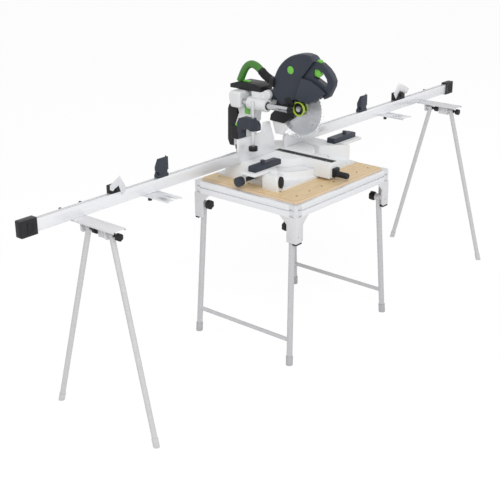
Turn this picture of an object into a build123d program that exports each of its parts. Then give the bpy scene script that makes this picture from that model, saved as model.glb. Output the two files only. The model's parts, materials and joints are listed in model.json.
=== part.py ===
from build123d import *
import math
import os

# Miter saw stand: folding work table, two rails with stops, two trestles and a saw.
# Millimetres. While building, the table centre is x = y = 0 and the floor is z = 0.
# +X is the user's right and +Y is the back. The last lines move the whole part so
# that the bottom centre of its bounding box is the origin.

# Shared fits
running_fit = 0.05
gap = 0.3
wall_gap = 1.0

# Work table
frame_x, frame_y = 740.0, 629.0
frame_bottom, frame_top = 730.0, 790.0
profile_width, profile_wall = 30.0, 3.0
groove_height, groove_depth, groove_rise = 5.0, 6.0, 30.5
connector_size, connector_round = 41.0, 10.0
connector_slot = (22.0, 3.0, 6.0)
connector_slot_rises = (7.0, 37.5)
connector_slot_centre = 28.0
spigot_length = 38.0
wood_x, wood_y, wood_thick, wood_proud = 692.0, 594.0, 18.0, 10.0
wood_corner, wood_chamfer = 20.0, 8.0
dog_hole_r, dog_pitch_x, dog_pitch_y, dog_shift_x = 5.0, 94.0, 96.0, 9.0
dog_columns, dog_rows = 7, 6

# Leg brackets, measured inward from the outer corner of the frame
bracket_height, bracket_face, bracket_side = 122.0, 51.0, 56.0
bracket_bottom = frame_bottom - bracket_height
plate_thick = 4.0
socket_u, socket_v = 32.0, 22.0
boss_r, boss_length = 12.0, 4.0
gusset_u, gusset_v, gusset_drop = 92.0, 97.0, 41.0
bracket_chamfer = 8.0
bracket_hole_r, bracket_hole_u, bracket_hole_rise = 3.0, 20.0, 28.0
plug_height, plug_depth = 8.0, 22.0

# Table legs
leg_pin_r, leg_pin_u = 5.0, 24.0
leg_pin_end = 78.0
leg_hinge_left_rise, leg_hinge_right_rise = 66.0, 33.0
leg_hinge_left_z = bracket_bottom + leg_hinge_left_rise
leg_hinge_right_z = bracket_bottom + leg_hinge_right_rise
leg_barrel_r, leg_barrel_length = 17.0, 30.0
leg_r, leg_wall = 14.0, 2.0
leg_foot_x, leg_foot_y = 388.0, 293.0
crossbar_r, crossbar_z = 10.0, 124.5
foot_r, foot_height, foot_pocket = 16.5, 45.0, 12.0
leg_fold_left, leg_fold_right = 93.5, 93.7

# Table leg knobs
knob_neck_r, knob_neck_length = 8.5, 9.4
knob_head_r, knob_head_length = 22.5, 20.0
knob_lobes, knob_lobe_r, knob_lobe_reach = 6, 6.0, 25.5

# Rails and their caps
rail_front, rail_back = 109.0, 135.0
rail_bottom, rail_top, rail_wall = 889.0, 942.0, 2.5
left_rail_inner, left_rail_length = -275.0, 1190.0
right_rail_inner, right_rail_length = 345.0, 1257.0
left_rail_span = (left_rail_inner - left_rail_length, left_rail_inner)
right_rail_span = (right_rail_inner, right_rail_inner + right_rail_length)
rail_groove_width, rail_groove_depth = 2.0, 1.0
rail_groove_rows = (7.0, 17.0)
left_cap_length, right_cap_length = 85.0, 83.0
cap_left_span = (left_rail_span[0] - left_cap_length, left_rail_span[0])
cap_right_span = (right_rail_span[1], right_rail_span[1] + right_cap_length)
cap_front, cap_back, cap_bottom, cap_top, cap_round = 105.0, 139.0, 881.0, 951.0, 9.0
cap_recess, cap_recess_margin, cap_recess_web = 2.5, 12.0, 7.0
cap_plug_length = 30.0
rail_bolt_r, rail_bolt_length, rail_bolt_z = 7.0, 11.0, 936.0
left_bolt_insets, right_bolt_inset = (145.0, 249.0), 190.0
rail_bolt_x = [left_rail_span[0] + inset for inset in left_bolt_insets]
rail_bolt_x.append(right_rail_span[1] - right_bolt_inset)

# Couplers that carry the inner rail ends on the saw base
coupler_reach = 60.0
coupler_back = (121.5, 132.2)
coupler_foot_y = 165.0
coupler_foot_thick = 6.0
coupler_left_x, coupler_right_x = -225.0, 285.0
coupler_base_left, coupler_base_right = -255.0, 312.0
coupler_knob_r, coupler_knob_height, coupler_knob_inset, coupler_knob_y = 9.0, 70.0, 20.0, 152.0
coupler_stem_r = 5.0

# Trestles
left_head_x, right_head_x = -1250.0, 1351.0
head_width, head_thick, head_front, head_rear = 68.0, 3.0, -129.0, 137.0
head_lip = 7.0
web_thick, web_front, web_rear, web_bottom = 4.0, -62.0, 0.0, 833.0
pivot_plate_width, pivot_plate_thick, pivot_plate_bottom, pivot_plate_cut = 48.0, 4.0, 836.0, 10.0
pivot_front_plate_y, pivot_rear_plate_y = -66.0, 79.0
trestle_hinge_z = 858.0
trestle_pin_r = 4.0
front_barrel, rear_barrel = (-96.0, -66.3), (42.0, 78.7)
front_leg_y, rear_leg_y = -79.2, 56.0
trestle_barrel_r, trestle_leg_r, trestle_leg_wall = 13.0, 12.0, 1.5
front_foot_y, rear_foot_y = -323.0, 281.0
left_trestle_foot_x, right_trestle_foot_x = -1292.0, 1351.0
trestle_cap_r, trestle_cap_height = 14.0, 38.0
trestle_knob_neck_r, trestle_knob_neck_length = 7.5, 18.0
trestle_knob_r, trestle_knob_length = 16.0, 18.0
trestle_fold_left, trestle_fold_right = 92.8, 90.0

# Flip stops
left_stop_x, right_stop_x = -768.0, 748.5
stop_width, stop_cheek = 60.0, 6.0
stop_front, stop_rear = 109.0, 134.0
stop_base_top, stop_clip_back, stop_clip_bottom = 956.0, 139.3, 905.0
stop_hinge_y, stop_hinge_z, stop_pin_r, stop_eye_r = 128.0, 964.0, 3.0, 6.7
stop_top, stop_knee_z, stop_shoulder_y = 1030.0, 990.0, 116.0
stop_peg_r, stop_peg_height = 2.5, 6.0

# Angle stops: outline of the sheet and its clamp
angle_left = [(-1025.0, 1012.0), (-1081.0, 982.0), (-1083.0, 963.0), (-1069.0, 955.0),
              (-1036.0, 972.0), (-1026.0, 946.0), (-1015.0, 927.0), (-993.0, 950.0)]
angle_right = [(1085.0, 1046.0), (1035.0, 986.0), (1056.0, 956.0), (1092.0, 997.0),
               (1162.0, 966.0), (1189.0, 991.0)]
angle_sheet, angle_face_y = 3.0, 105.0
angle_clamp_left, angle_clamp_right = (-1074.0, -1016.0, 976.0), (1060.0, 1150.0, 984.0)
angle_knob_left, angle_knob_right = (-1046.0, 953.0, 8.0), (1112.0, 966.0, 13.0)
angle_knob_out = 9.0
angle_flange_y, angle_flange_out = 108.0, 14.0

# Side supports
support_left_x, support_right_x = (-885.0, -803.0), (921.0, 1003.0)
support_front, support_rear, support_sheet = -33.0, 128.0, 2.0
support_bottom, support_top = 881.0, 888.7
support_notch_width, support_notch_depth = 14.0, 22.0
support_hook_back, support_hook_top = 139.3, 900.0
support_knob_r, support_knob_height, support_knob_y = 9.0, 20.0, 92.0

# Saw base
saw_x, pivot_y = 30.0, 109.0
base_bottom, flange_top, drum_top, wing_top = 800.0, 812.0, 848.0, 889.0
flange_left, flange_right, flange_front, flange_rear = -255.0, 315.0, -150.0, 265.0
drum_r, drum_rear, drum_hollow_r, drum_roof = 250.0, 240.0, 236.0, 10.0
pivot_pin_r, pivot_pin_top = 15.0, 868.0
wing_inner, wing_outer = 178.0, 285.0
wing_inner_front, wing_outer_front, wing_rear = -2.0, -112.0, 215.0
wing_wall, wing_roof = 7.0, 9.0
foot_block = (-290.0, -240.0, -140.0, -44.0, 875.0)
foot_block_round = 8.0
foot_knob_x, foot_knob_z, foot_knob_half_x, foot_knob_half_z = -272.0, 845.0, 16.0, 28.0
foot_knob_depth, foot_knob_neck = 9.0, 3.0
base_screw_x, base_screw_y = (-225.0, 262.0), (-130.0, 245.0)
base_screw_r, base_screw_head_r, base_screw_head, base_screw_sink = 4.0, 7.0, 5.0, 6.0
base_screw_clearance = 0.4
nut_r, nut_height = 8.0, 8.0

# Fence
fence_front, fence_rear = 109.0, 121.0
fence_left_outline = [(-274.0, 889.0), (-150.0, 889.0), (-150.0, 890.5), (-8.0, 890.5),
                      (-8.0, 946.0), (-44.0, 1048.0), (-88.0, 1048.0), (-97.0, 1003.0),
                      (-274.0, 1003.0)]
fence_right_outline = [(68.0, 890.5), (210.0, 890.5), (210.0, 889.0), (344.0, 889.0),
                       (344.0, 942.0), (112.0, 942.0), (98.0, 958.0), (78.0, 958.0),
                       (68.0, 942.0)]
fence_foot_rear, fence_foot_thick = 150.0, 8.0
fence_rib_thick, fence_rib_height = 5.0, 45.0
fence_left_ribs, fence_right_ribs = (-212.0, -160.0), (222.0, 272.0)

# Hold-down clamp
# Its arm is an arch: its crown is given as (y, drop from the eye's top) and its underside as
# (y, rise from the eye's bottom)
clamp_eye_y, clamp_eye_r, clamp_eye_bottom, clamp_eye_height = 60.0, 18.0, 1046.0, 60.0
clamp_eye_span = (clamp_eye_bottom, clamp_eye_bottom + clamp_eye_height)
clamp_x, clamp_block_half, clamp_block_depth, clamp_block_low = -226.0, 12.0, 21.0, 975.0
clamp_block_drop = 16.0
clamp_block_span = (clamp_block_low, clamp_eye_bottom - clamp_block_drop)
clamp_arm_half, clamp_arm_foot_y = 13.0, (148.0, 124.0)
clamp_arm_crown = [(148.0, 31.0), (138.0, 10.0), (112.0, 0.0), (70.0, 0.0), (30.0, 14.0),
                   (22.0, 26.0)]
clamp_arm_underside = [(22.0, 6.0), (60.0, 0.0), (98.0, 6.0), (118.0, 0.0)]
pad_r, pad_height, pad_drop, clamp_travel = 21.5, 20.0, 76.0, 55.0
pad_top = clamp_eye_bottom - pad_drop
pad_bottom = pad_top - pad_height
spindle_r, spindle_bottom, spindle_grip_r, spindle_grip_length = 6.0, pad_top, 9.0, 22.0
spindle_sleeve_r = 8.5

# Turntable
table_r, table_bottom, table_top = 175.0, 849.0, 889.0
arm_half, arm_front, arm_low, arm_clear_r = 42.0, -229.0, 814.0, 252.0
rear_arm_half, rear_arm_y, rear_arm_top, bevel_r = 50.0, 288.0, 870.0, 39.0
bevel_barrel_front = 240.0
insert_half, insert_rear, insert_front, insert_thick = 20.0, 125.0, -226.0, 5.0
kerf_half, channel_half, kerf_rear, kerf_front, kerf_bottom = 4.0, 14.0, 120.0, -205.0, 871.0
pivot_bore_top = 870.0
lever_half, lever_out, lever_low, lever_high = 20.0, 16.0, 818.0, 860.0
grip_r, grip_end, grip_z = 15.0, -310.0, 832.0
mitre_limit = 45.0

# Sliding extensions: sheet outline from the saw centre, then the blocks on top
extension_front, extension_rear, extension_thick = -70.0, 20.0, 13.0
extension_tongue_front = -45.0
left_extension_x, right_extension_x = (-366.0, -257.0, -200.0), (475.0, 317.0, 262.0)
left_block_x, right_block_x = (-343.0, -155.0), (278.0, 460.0)
left_block_y, right_block_y = (-52.0, -10.0), (-43.0, 3.0)
block_top, block_round = 915.0, 5.0
left_block_knob, right_block_knob = (-262.0, -28.0), (400.0, -16.0)
block_knob_r, block_knob_height = 11.0, 13.0
side_knob_y, side_knob_z, side_knob_r = 25.0, 838.0, 23.0
side_knob_x, side_rod_r, side_rod_end = (-380.0, -352.0), 11.0, -184.0
side_lug_x, side_lug_half = (-350.0, -338.0), 15.0
extension_travel = 60.0

# Saw column; outline as (y, z)
hinge_barrel_front, hinge_barrel_rear = 292.0, 375.0
column_half, column_head_half, column_head_round = 40.0, 92.0, 12.0
column_stem = [(292.0, 872.0), (292.0, 955.0), (264.0, 1010.0), (254.0, 1085.0), (350.0, 1085.0),
               (337.0, 1050.0), (364.0, 985.0), (375.0, 930.0), (375.0, 872.0)]
column_head = [(288.0, 1085.0), (288.0, 1167.0), (352.0, 1167.0), (362.0, 1150.0),
               (362.0, 1125.0), (350.0, 1085.0)]
bevel_bolt_r, bevel_bolt_start = 12.0, 262.0
rod_r, rod_offset, guide_z, rod_front, rod_rear = 15.0, 63.0, 1117.0, 2.0, 346.0
rod_cap_length = 12.0
cover_outline = [(375.3, 872.0), (375.3, 937.0), (364.3, 987.0), (350.3, 1030.0), (350.3, 1084.0),
                 (402.0, 1084.0), (412.0, 1060.0), (416.0, 900.0), (404.0, 872.0)]
cover_half = 40.0
side_box_reach, side_box_y, side_box_z, side_box_round = 40.0, (292.0, 360.0), (921.0, 986.0), 6.0
loop_y, loop_z, loop_r, loop_tube_r = 389.0, 1122.0, 20.0, 4.0
window_y, window_z, window_depth = (270.0, 295.0), (1057.0, 1083.0), 2.0
bevel_knob_x, bevel_knob_z, bevel_knob_r = -25.0, 1005.0, 13.0
bevel_knob_y = (222.0, 262.0)
bevel_knob_ring_r, bevel_knob_ring = 20.0, 12.0
bevel_knob_pin_r, bevel_knob_pin_front, bevel_lug = 5.0, 238.0, 24.0
bevel_left_limit, bevel_right_limit = 4.0, 12.0

# Carriage
boss_y, boss_outer_r = (132.0, 245.0), 31.0
chop_y, chop_z, chop_pin_r, chop_eye_r = 165.0, 1160.0, 7.0, 23.0
lug_half, fork_thick, fork_gap = 12.0, 20.0, 0.4
cross_z, cross_front = (1090.0, 1113.0), 168.0
carriage_back = (192.0, 245.0)
carriage_back_half, carriage_top = 50.0, 1171.0
carriage_travel = 110.0
port_outline = [(192.0, 1171.0), (192.0, 1196.0), (226.0, 1206.0), (330.0, 1206.0),
                (389.0, 1190.0), (389.0, 1171.0)]
port_half = 45.0
chop_limit = 38.0

# Saw head; blade plane x = saw_x, outlines as (y, z)
arbor_y, arbor_z, blade_r, blade_thick = -20.0, 1115.0, 130.0, 2.6
blade_teeth, tooth_depth = 48, 5.0
blade_flange_r, blade_flange, arbor_r, arbor_nut_r = 28.0, 8.7, 8.0, 13.0
guard_half, guard_wall, guard_round = 30.0, 13.0, 10.0
chop_lug_reach = 60.0
guard_cavity_r = 146.0
guard_centre, guard_r = (-60.0, 1193.0), 190.0
guard_seam = [(-5.0, 1163.0), (-46.0, 1270.0), (-117.0, 1355.0)]
guard_top_start, guard_arc_angles = (-95.0, 1378.0), (93.0, 2.0)
guard_back = [(130.0, 1192.0), (118.0, 1165.0), (70.0, 1118.0), (36.0, 1138.0)]
shell_outline = [(-5.0, 1163.0), (-46.0, 1270.0), (-100.0, 1262.0), (-147.0, 1240.0),
                 (-186.0, 1212.0), (-160.0, 1195.4), (-89.0, 1150.0), (-60.0, 1156.0)]
handle_outline = [(-46.0, 1270.0), (-117.0, 1355.0), (-160.0, 1347.0), (-190.0, 1327.0),
                  (-212.0, 1304.0), (-227.0, 1275.0), (-223.0, 1248.0), (-196.0, 1197.0),
                  (-171.0, 1183.0), (-160.0, 1195.4), (-186.0, 1212.0), (-147.0, 1240.0),
                  (-100.0, 1262.0)]
handle_opening = [(-108.0, 1280.0), (-181.0, 1246.0), (-189.0, 1258.0), (-183.0, 1280.0),
                  (-163.0, 1304.0), (-144.0, 1317.0), (-112.0, 1322.0)]
handle_x, handle_round = (13.0, 48.0), 6.0
trigger_outline = [(-96.0, 1326.0), (-140.0, 1316.0), (-148.0, 1292.0), (-132.0, 1280.0),
                   (-112.0, 1288.0), (-102.0, 1306.0)]
trigger_half, trigger_pivot, trigger_pin_r, trigger_limit = 9.0, (-100.0, 1320.0), 2.0, 6.0
trigger_pocket = [(-88.0, 1328.0), (-96.0, 1336.0), (-150.0, 1326.0), (-156.0, 1290.0),
                  (-146.0, 1270.0), (-111.5, 1270.0), (-94.0, 1300.0)]
button_y, button_z, button_half, button_travel = (-146.0, -124.0), (1337.0, 1362.0), 8.0, 3.0
button_well_bottom = 1333.0
gear_x, gear_r, motor_y, motor_z, motor_r, motor_end = (60.0, 76.0), 40.0, 92.0, 1232.0, 38.0, 158.0
gear_motor_r = 44.0
arbor_boss_r, arbor_boss_start = 32.0, 36.4
lower_guard_r, lower_guard_rim, lower_plate_thick = 139.0, 3.0, 2.0
lower_left_x, lower_right_x = 19.0, 37.6
lower_ring_r, lower_ring_bore, lower_ring_start = 35.0, 29.5, 12.0
lower_angles, lower_ratio, lower_hub_r = (186.0, 345.0), -2.2, 46.0
# Block and flap that lead the sawdust back, and the plate that works the lower guard
chip_block = [(14.0, 1068.0), (9.0, 1110.0), (36.0, 1138.0), (70.0, 1125.0), (100.0, 1146.0),
              (113.0, 1094.0), (139.0, 1069.0), (145.0, 1039.0), (60.0, 1036.0)]
chip_flap = [(60.0, 1036.0), (38.0, 1014.0), (71.0, 976.0), (113.0, 977.0), (129.0, 1025.0),
             (132.0, 1038.5)]
chip_block_thick, chip_block_proud, chip_flap_inset, chip_flap_thick = 11.0, 1.0, 3.0, 8.0
guard_plate, guard_plate_thick = [(50.0, 1160.0), (25.0, 1168.0), (-11.0, 1137.0), (9.0, 1117.0)], 5.0
badge_y, badge_z, badge_r, badge_depth = 18.0, 1300.0, 19.0, 1.5
# Screws in the guard, as shares of its radius from its centre
guard_screw_shares, guard_screw_r = [(0.378947, 0.805263), (-0.126316, 0.873684)], 3.0

# Hose; centre line as (y, z) at hose_x
hose_x, hose_r, hose_wall = 12.0, 18.5, 2.0
hose_route = [(345.0, 1206.5), (330.0, 1240.0), (305.0, 1281.0), (272.0, 1299.0), (238.0, 1292.0),
              (207.0, 1271.0), (176.0, 1245.0), (131.0, 1228.0)]
socket_r, socket_bore_r, socket_front, socket_back, socket_floor = 26.0, 23.5, 114.0, 140.0, 129.0
cuff_ribs, cuff_rib_r, cuff_rib_width, cuff_start_share = 9, 21.5, 3.4, 0.72


def box(x0, x1, y0, y1, z0, z1):
    """Box from its two corners."""
    size = Box(abs(x1 - x0), abs(y1 - y0), abs(z1 - z0))
    return Pos((x0 + x1) / 2, (y0 + y1) / 2, (z0 + z1) / 2) * size


def rod_x(y, z, x0, x1, r):
    return Pos((x0 + x1) / 2, y, z) * Rot(0, 90, 0) * Cylinder(r, abs(x1 - x0))


def rod_y(x, z, y0, y1, r):
    return Pos(x, (y0 + y1) / 2, z) * Rot(90, 0, 0) * Cylinder(r, abs(y1 - y0))


def rod_z(x, y, z0, z1, r):
    return Pos(x, y, (z0 + z1) / 2) * Cylinder(r, abs(z1 - z0))


def slab_x(points, x0, x1):
    """Outline given as (y, z), from x0 to x1."""
    face = Plane.YZ.offset(x0) * Polygon(*points, align=None)
    return extrude(face, x1 - x0, dir=(1, 0, 0))


def slab_y(points, y0, y1):
    """Outline given as (x, z), from y0 to y1."""
    face = Plane.XZ.offset(-y0) * Polygon(*points, align=None)
    return extrude(face, y1 - y0, dir=(0, 1, 0))


def slab_z(points, z0, z1):
    """Outline given as (x, y), from z0 to z1."""
    face = Plane.XY.offset(z0) * Polygon(*points, align=None)
    return extrude(face, z1 - z0, dir=(0, 0, 1))


def tube_between(start, end, r):
    """Round bar from one point to another."""
    a, b = Vector(*start), Vector(*end)
    run = b - a
    plane = Plane(origin=a, z_dir=run)
    return plane * (Pos(0, 0, run.length / 2) * Cylinder(r, run.length))


def arc_points(centre, r, first, last, count):
    """Points on an arc, angles in degrees from +Y towards +Z."""
    steps = [math.radians(first + (last - first) * i / count) for i in range(count + 1)]
    return [(centre[0] + r * math.cos(a), centre[1] + r * math.sin(a)) for a in steps]


def both(shape):
    """The shape and its mirror image across the plane y = 0."""
    return [shape, mirror(shape, Plane.XZ)]


# Table

half_x, half_y = frame_x / 2, frame_y / 2
wood_top = frame_top + wood_proud
wood_bottom = wood_top - wood_thick
wood_half_x, wood_half_y = wood_x / 2, wood_y / 2


def profile_section(edge, wood_half):
    """Section of a frame profile: distance from the outer face, then height."""
    seat = edge - wood_half - gap
    outer = [(0, frame_bottom), (profile_width, frame_bottom), (profile_width, wood_bottom),
             (seat, wood_bottom), (seat, frame_top), (0, frame_top)]
    w = profile_wall
    inner = [(w, frame_bottom + w), (profile_width - w, frame_bottom + w),
             (profile_width - w, wood_bottom - w), (seat - w, wood_bottom - w),
             (seat - w, frame_top - w), (w, frame_top - w)]
    return outer, inner


def groove_box(length, depth, spare):
    low = frame_bottom + groove_rise - groove_height / 2 - spare
    return box(-length / 2, length / 2, 0, depth, low, low + groove_height + 2 * spare)


def profile_x():
    """Front profile, its outer face at the local plane y = 0."""
    length = frame_x - 2 * connector_size
    outer, inner = profile_section(half_y, wood_half_y)
    beam = slab_x(outer, -length / 2, length / 2)
    hollow = slab_x(inner, -length / 2, length / 2)
    hollow -= groove_box(length, groove_depth + profile_wall, profile_wall)
    return beam - hollow - groove_box(length, groove_depth, 0)


def profile_y():
    """Side profile, built along X and turned afterwards."""
    length = frame_y - 2 * connector_size
    outer, inner = profile_section(half_x, wood_half_x)
    beam = slab_x(outer, -length / 2, length / 2)
    hollow = slab_x(inner, -length / 2, length / 2)
    hollow -= groove_box(length, groove_depth + profile_wall, profile_wall)
    return beam - hollow - groove_box(length, groove_depth, 0)


def frame_profiles():
    front = Pos(0, -half_y, 0) * profile_x()
    back = Pos(0, half_y, 0) * Rot(0, 0, 180) * profile_x()
    left = Pos(-half_x, 0, 0) * Rot(0, 0, -90) * profile_y()
    right = Pos(half_x, 0, 0) * Rot(0, 0, 90) * profile_y()
    return [front, back, left, right]


def corner_box(sx, sy, u0, u1, v0, v1, z0, z1):
    """Box measured inward from a corner of the frame; sx and sy pick the corner."""
    return box(sx * (half_x - u0), sx * (half_x - u1), sy * (half_y - v0), sy * (half_y - v1), z0, z1)


def corner_connector(sx, sy):
    block = corner_box(sx, sy, 0, connector_size, 0, connector_size, frame_bottom, frame_top)
    corner_x, corner_y = sx * half_x, sy * half_y
    edge = block.edges().filter_by(Axis.Z).sort_by_distance((corner_x, corner_y, frame_bottom))[0]
    block = fillet(edge, connector_round)
    seat = RectangleRounded(wood_x + 2 * gap, wood_y + 2 * gap, wood_corner + gap)
    block -= Pos(0, 0, wood_bottom) * extrude(seat, wood_thick)
    length, depth, height = connector_slot
    near, far = connector_slot_centre - length / 2, connector_slot_centre + length / 2
    for rise in connector_slot_rises:
        low = frame_bottom + rise - height / 2
        block -= corner_box(sx, sy, near, far, 0, depth, low, low + height)
        block -= corner_box(sx, sy, 0, depth, near, far, low, low + height)
    inner0 = groove_depth + profile_wall + gap
    inner1 = profile_width - profile_wall - gap
    low, high = frame_bottom + profile_wall, wood_bottom - profile_wall
    end = connector_size + spigot_length
    block += corner_box(sx, sy, connector_size, end, inner0, inner1, low, high)
    block += corner_box(sx, sy, inner0, inner1, connector_size, end, low, high)
    return block


def corner_connectors():
    return [corner_connector(sx, sy) for sx in (-1, 1) for sy in (-1, 1)]


def base_screw_places():
    return [(x, y) for x in base_screw_x for y in base_screw_y]


def work_top():
    top = Pos(0, 0, wood_bottom) * extrude(RectangleRounded(wood_x, wood_y, wood_corner), wood_thick)
    top = chamfer(top.faces().sort_by(Axis.Z)[-1].edges(), wood_chamfer)
    first_x = dog_shift_x - dog_pitch_x * (dog_columns - 1) / 2
    first_y = -dog_pitch_y * (dog_rows - 1) / 2
    holes = []
    for i in range(dog_columns):
        for j in range(dog_rows):
            x, y = first_x + i * dog_pitch_x, first_y + j * dog_pitch_y
            holes.append(rod_z(x, y, wood_bottom, wood_top, dog_hole_r))
    for x, y in base_screw_places():
        holes.append(rod_z(x, y, wood_bottom, wood_top, base_screw_r + base_screw_clearance))
    return top - holes


# Leg brackets and legs

boss_end = socket_v + boss_length
barrel_start = boss_end + gap
barrel_end = barrel_start + leg_barrel_length
leg_v = (barrel_start + barrel_end) / 2


def hinge_z(sx):
    return leg_hinge_left_z if sx < 0 else leg_hinge_right_z


def corner_point(sx, sy, u, v):
    return sx * (half_x - u), sy * (half_y - v)


def corner_rod(sx, sy, v0, v1, z, r):
    """Rod along Y at the leg hinge of one corner."""
    x = sx * (half_x - leg_pin_u)
    return rod_y(x, z, sy * (half_y - v0), sy * (half_y - v1), r)


def leg_bracket(sx, sy):
    t, low, high = plate_thick, bracket_bottom, frame_bottom
    z = hinge_z(sx)
    body = corner_box(sx, sy, 0, t, 0, bracket_side, low, high)
    body += corner_box(sx, sy, 0, bracket_face, 0, t, low, high)
    body += corner_box(sx, sy, socket_u - t, socket_u, 0, socket_v, low, high)
    body += corner_box(sx, sy, 0, socket_u, socket_v - t, socket_v, low, high)
    body += corner_box(sx, sy, 0, bracket_face, 0, bracket_side, high - t, high)
    x0, y0 = corner_point(sx, sy, bracket_face - t, 0)
    x1, y1 = corner_point(sx, sy, gusset_u, t)
    gusset = [(x0, high), (x1, high), (x0, high - gusset_drop)]
    body += slab_y(gusset, min(y0, y1), max(y0, y1))
    x0, y0 = corner_point(sx, sy, 0, bracket_side - t)
    x1, y1 = corner_point(sx, sy, t, gusset_v)
    gusset = [(y0, high), (y1, high), (y0, high - gusset_drop)]
    body += slab_x(gusset, min(x0, x1), max(x0, x1))
    body += corner_rod(sx, sy, socket_v, boss_end, z, boss_r)
    body -= corner_rod(sx, sy, socket_v - t, boss_end, z, leg_pin_r)
    hole_x = sx * (half_x - bracket_hole_u)
    body -= rod_y(hole_x, low + bracket_hole_rise, sy * half_y, sy * (half_y - t), bracket_hole_r)
    cut_x, cut_y = corner_point(sx, sy, bracket_face, 0)
    back_x, back_y = corner_point(sx, sy, bracket_face - bracket_chamfer, t)
    cut = [(cut_x, low), (back_x, low), (cut_x, low + bracket_chamfer)]
    return body - slab_y(cut, min(cut_y, back_y), max(cut_y, back_y))


def leg_brackets():
    return [leg_bracket(sx, sy) for sx in (-1, 1) for sy in (-1, 1)]


def bracket_plug(sx, sy):
    low = bracket_bottom - plug_height
    reach = bracket_face - bracket_chamfer
    plug = corner_box(sx, sy, 0, reach, 0, plug_depth, low, bracket_bottom)
    x = sx * half_x
    edges = plug.edges().filter_by(Axis.Z).sort_by_distance((x, sy * half_y, low))[0]
    plug = fillet(edges, plate_thick)
    return plug


def bracket_plugs():
    return [bracket_plug(sx, sy) for sx in (-1, 1) for sy in (-1, 1)]


def leg_line(sx, sy):
    x, y = corner_point(sx, sy, leg_pin_u, leg_v)
    return (x, y, hinge_z(sx)), (sx * leg_foot_x, sy * leg_foot_y, 0.0)


def along(start, end, distance):
    """The point at a distance from the end of a line, back towards its start."""
    a, b = Vector(*start), Vector(*end)
    back = (a - b).normalized()
    place = b + back * distance
    return place.X, place.Y, place.Z


def floor_cut(r):
    """A block below the floor, to cut a tilted foot flat."""
    return box(-4 * leg_foot_x, 4 * leg_foot_x, -2 * leg_foot_x, 2 * leg_foot_x, -4 * r, 0)


def leg_frame(sx):
    frame = None
    for sy in (-1, 1):
        start, end = leg_line(sx, sy)
        tip = along(start, end, foot_pocket)
        tube = tube_between(start, tip, leg_r)
        tube += corner_rod(sx, sy, barrel_start, barrel_end, hinge_z(sx), leg_barrel_r)
        frame = tube if frame is None else frame + tube
    share = crossbar_z / hinge_z(sx)
    start, end = leg_line(sx, 1)
    x = end[0] + (start[0] - end[0]) * share
    y = end[1] + (start[1] - end[1]) * share
    frame += rod_y(x, crossbar_z, -y, y, crossbar_r)
    for sy in (-1, 1):
        start, end = leg_line(sx, sy)
        tip = along(start, end, foot_pocket)
        neck = along(end, start, leg_barrel_r + 2 * leg_wall)
        frame -= tube_between(neck, tip, leg_r - leg_wall)
        bore = leg_pin_r + running_fit
        frame -= corner_rod(sx, sy, barrel_start, barrel_end, hinge_z(sx), bore)
    return frame


def leg_feet(sx):
    feet = []
    for sy in (-1, 1):
        start, end = leg_line(sx, sy)
        below = along(start, end, -foot_r)
        cap = tube_between(along(start, end, foot_height), below, foot_r)
        cap -= tube_between(along(start, end, foot_height), along(start, end, foot_pocket), leg_r)
        feet.append(cap - floor_cut(foot_r))
    return feet


def lobed_knob(x, z, y0, sign, neck_r, neck, head_r, head, bore_r, bore):
    """Knob along Y from y0 in the direction of sign, with a blind bore on its pin."""
    body = rod_y(x, z, y0, y0 + sign * neck, neck_r)
    body += rod_y(x, z, y0 + sign * neck, y0 + sign * (neck + head), head_r)
    for i in range(knob_lobes):
        a = math.radians(360 * i / knob_lobes)
        reach = head_r * knob_lobe_reach / knob_head_r
        cut_x, cut_z = x + reach * math.cos(a), z + reach * math.sin(a)
        cut_r = head_r * knob_lobe_r / knob_head_r
        body -= rod_y(cut_x, cut_z, y0 + sign * neck, y0 + sign * (neck + head), cut_r)
    return body - rod_y(x, z, y0, y0 + sign * bore, bore_r)


def table_knob(sx, sy):
    x = sx * (half_x - leg_pin_u)
    y0 = sy * (half_y - barrel_end - gap)
    bore = leg_pin_end - barrel_end - gap + wall_gap
    return lobed_knob(x, hinge_z(sx), y0, -sy, knob_neck_r, knob_neck_length, knob_head_r,
                      knob_head_length, leg_pin_r + running_fit, bore)


# Trestles

def head_x(sx):
    return left_head_x if sx < 0 else right_head_x


def trestle_head(sx):
    x, half = head_x(sx), head_width / 2
    top = rail_bottom
    t = head_thick
    body = box(x - half, x + half, head_front, head_rear, top - t, top)
    for side in (-1, 1):
        edge = x + side * half
        body += box(edge - side * t, edge, head_front, head_rear, top - t - head_lip, top - t)
    body += box(x - web_thick / 2, x + web_thick / 2, web_front, web_rear, web_bottom, top - t)
    w, low, cut = pivot_plate_width / 2, pivot_plate_bottom, pivot_plate_cut
    outline = [(x - w, top - t), (x - w, low + cut), (x - w + cut, low), (x + w - cut, low),
               (x + w, low + cut), (x + w, top - t)]
    for y in (pivot_front_plate_y, pivot_rear_plate_y):
        plate = slab_y(outline, y, y + pivot_plate_thick)
        body += plate - rod_y(x, trestle_hinge_z, y, y + pivot_plate_thick, trestle_pin_r)
    return body


def trestle_heads():
    return [trestle_head(-1), trestle_head(1)]


def trestle_line(sx, front):
    foot_x = left_trestle_foot_x if sx < 0 else right_trestle_foot_x
    y, foot_y = (front_leg_y, front_foot_y) if front else (rear_leg_y, rear_foot_y)
    return (head_x(sx), y, trestle_hinge_z), (foot_x, foot_y, 0.0)


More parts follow.
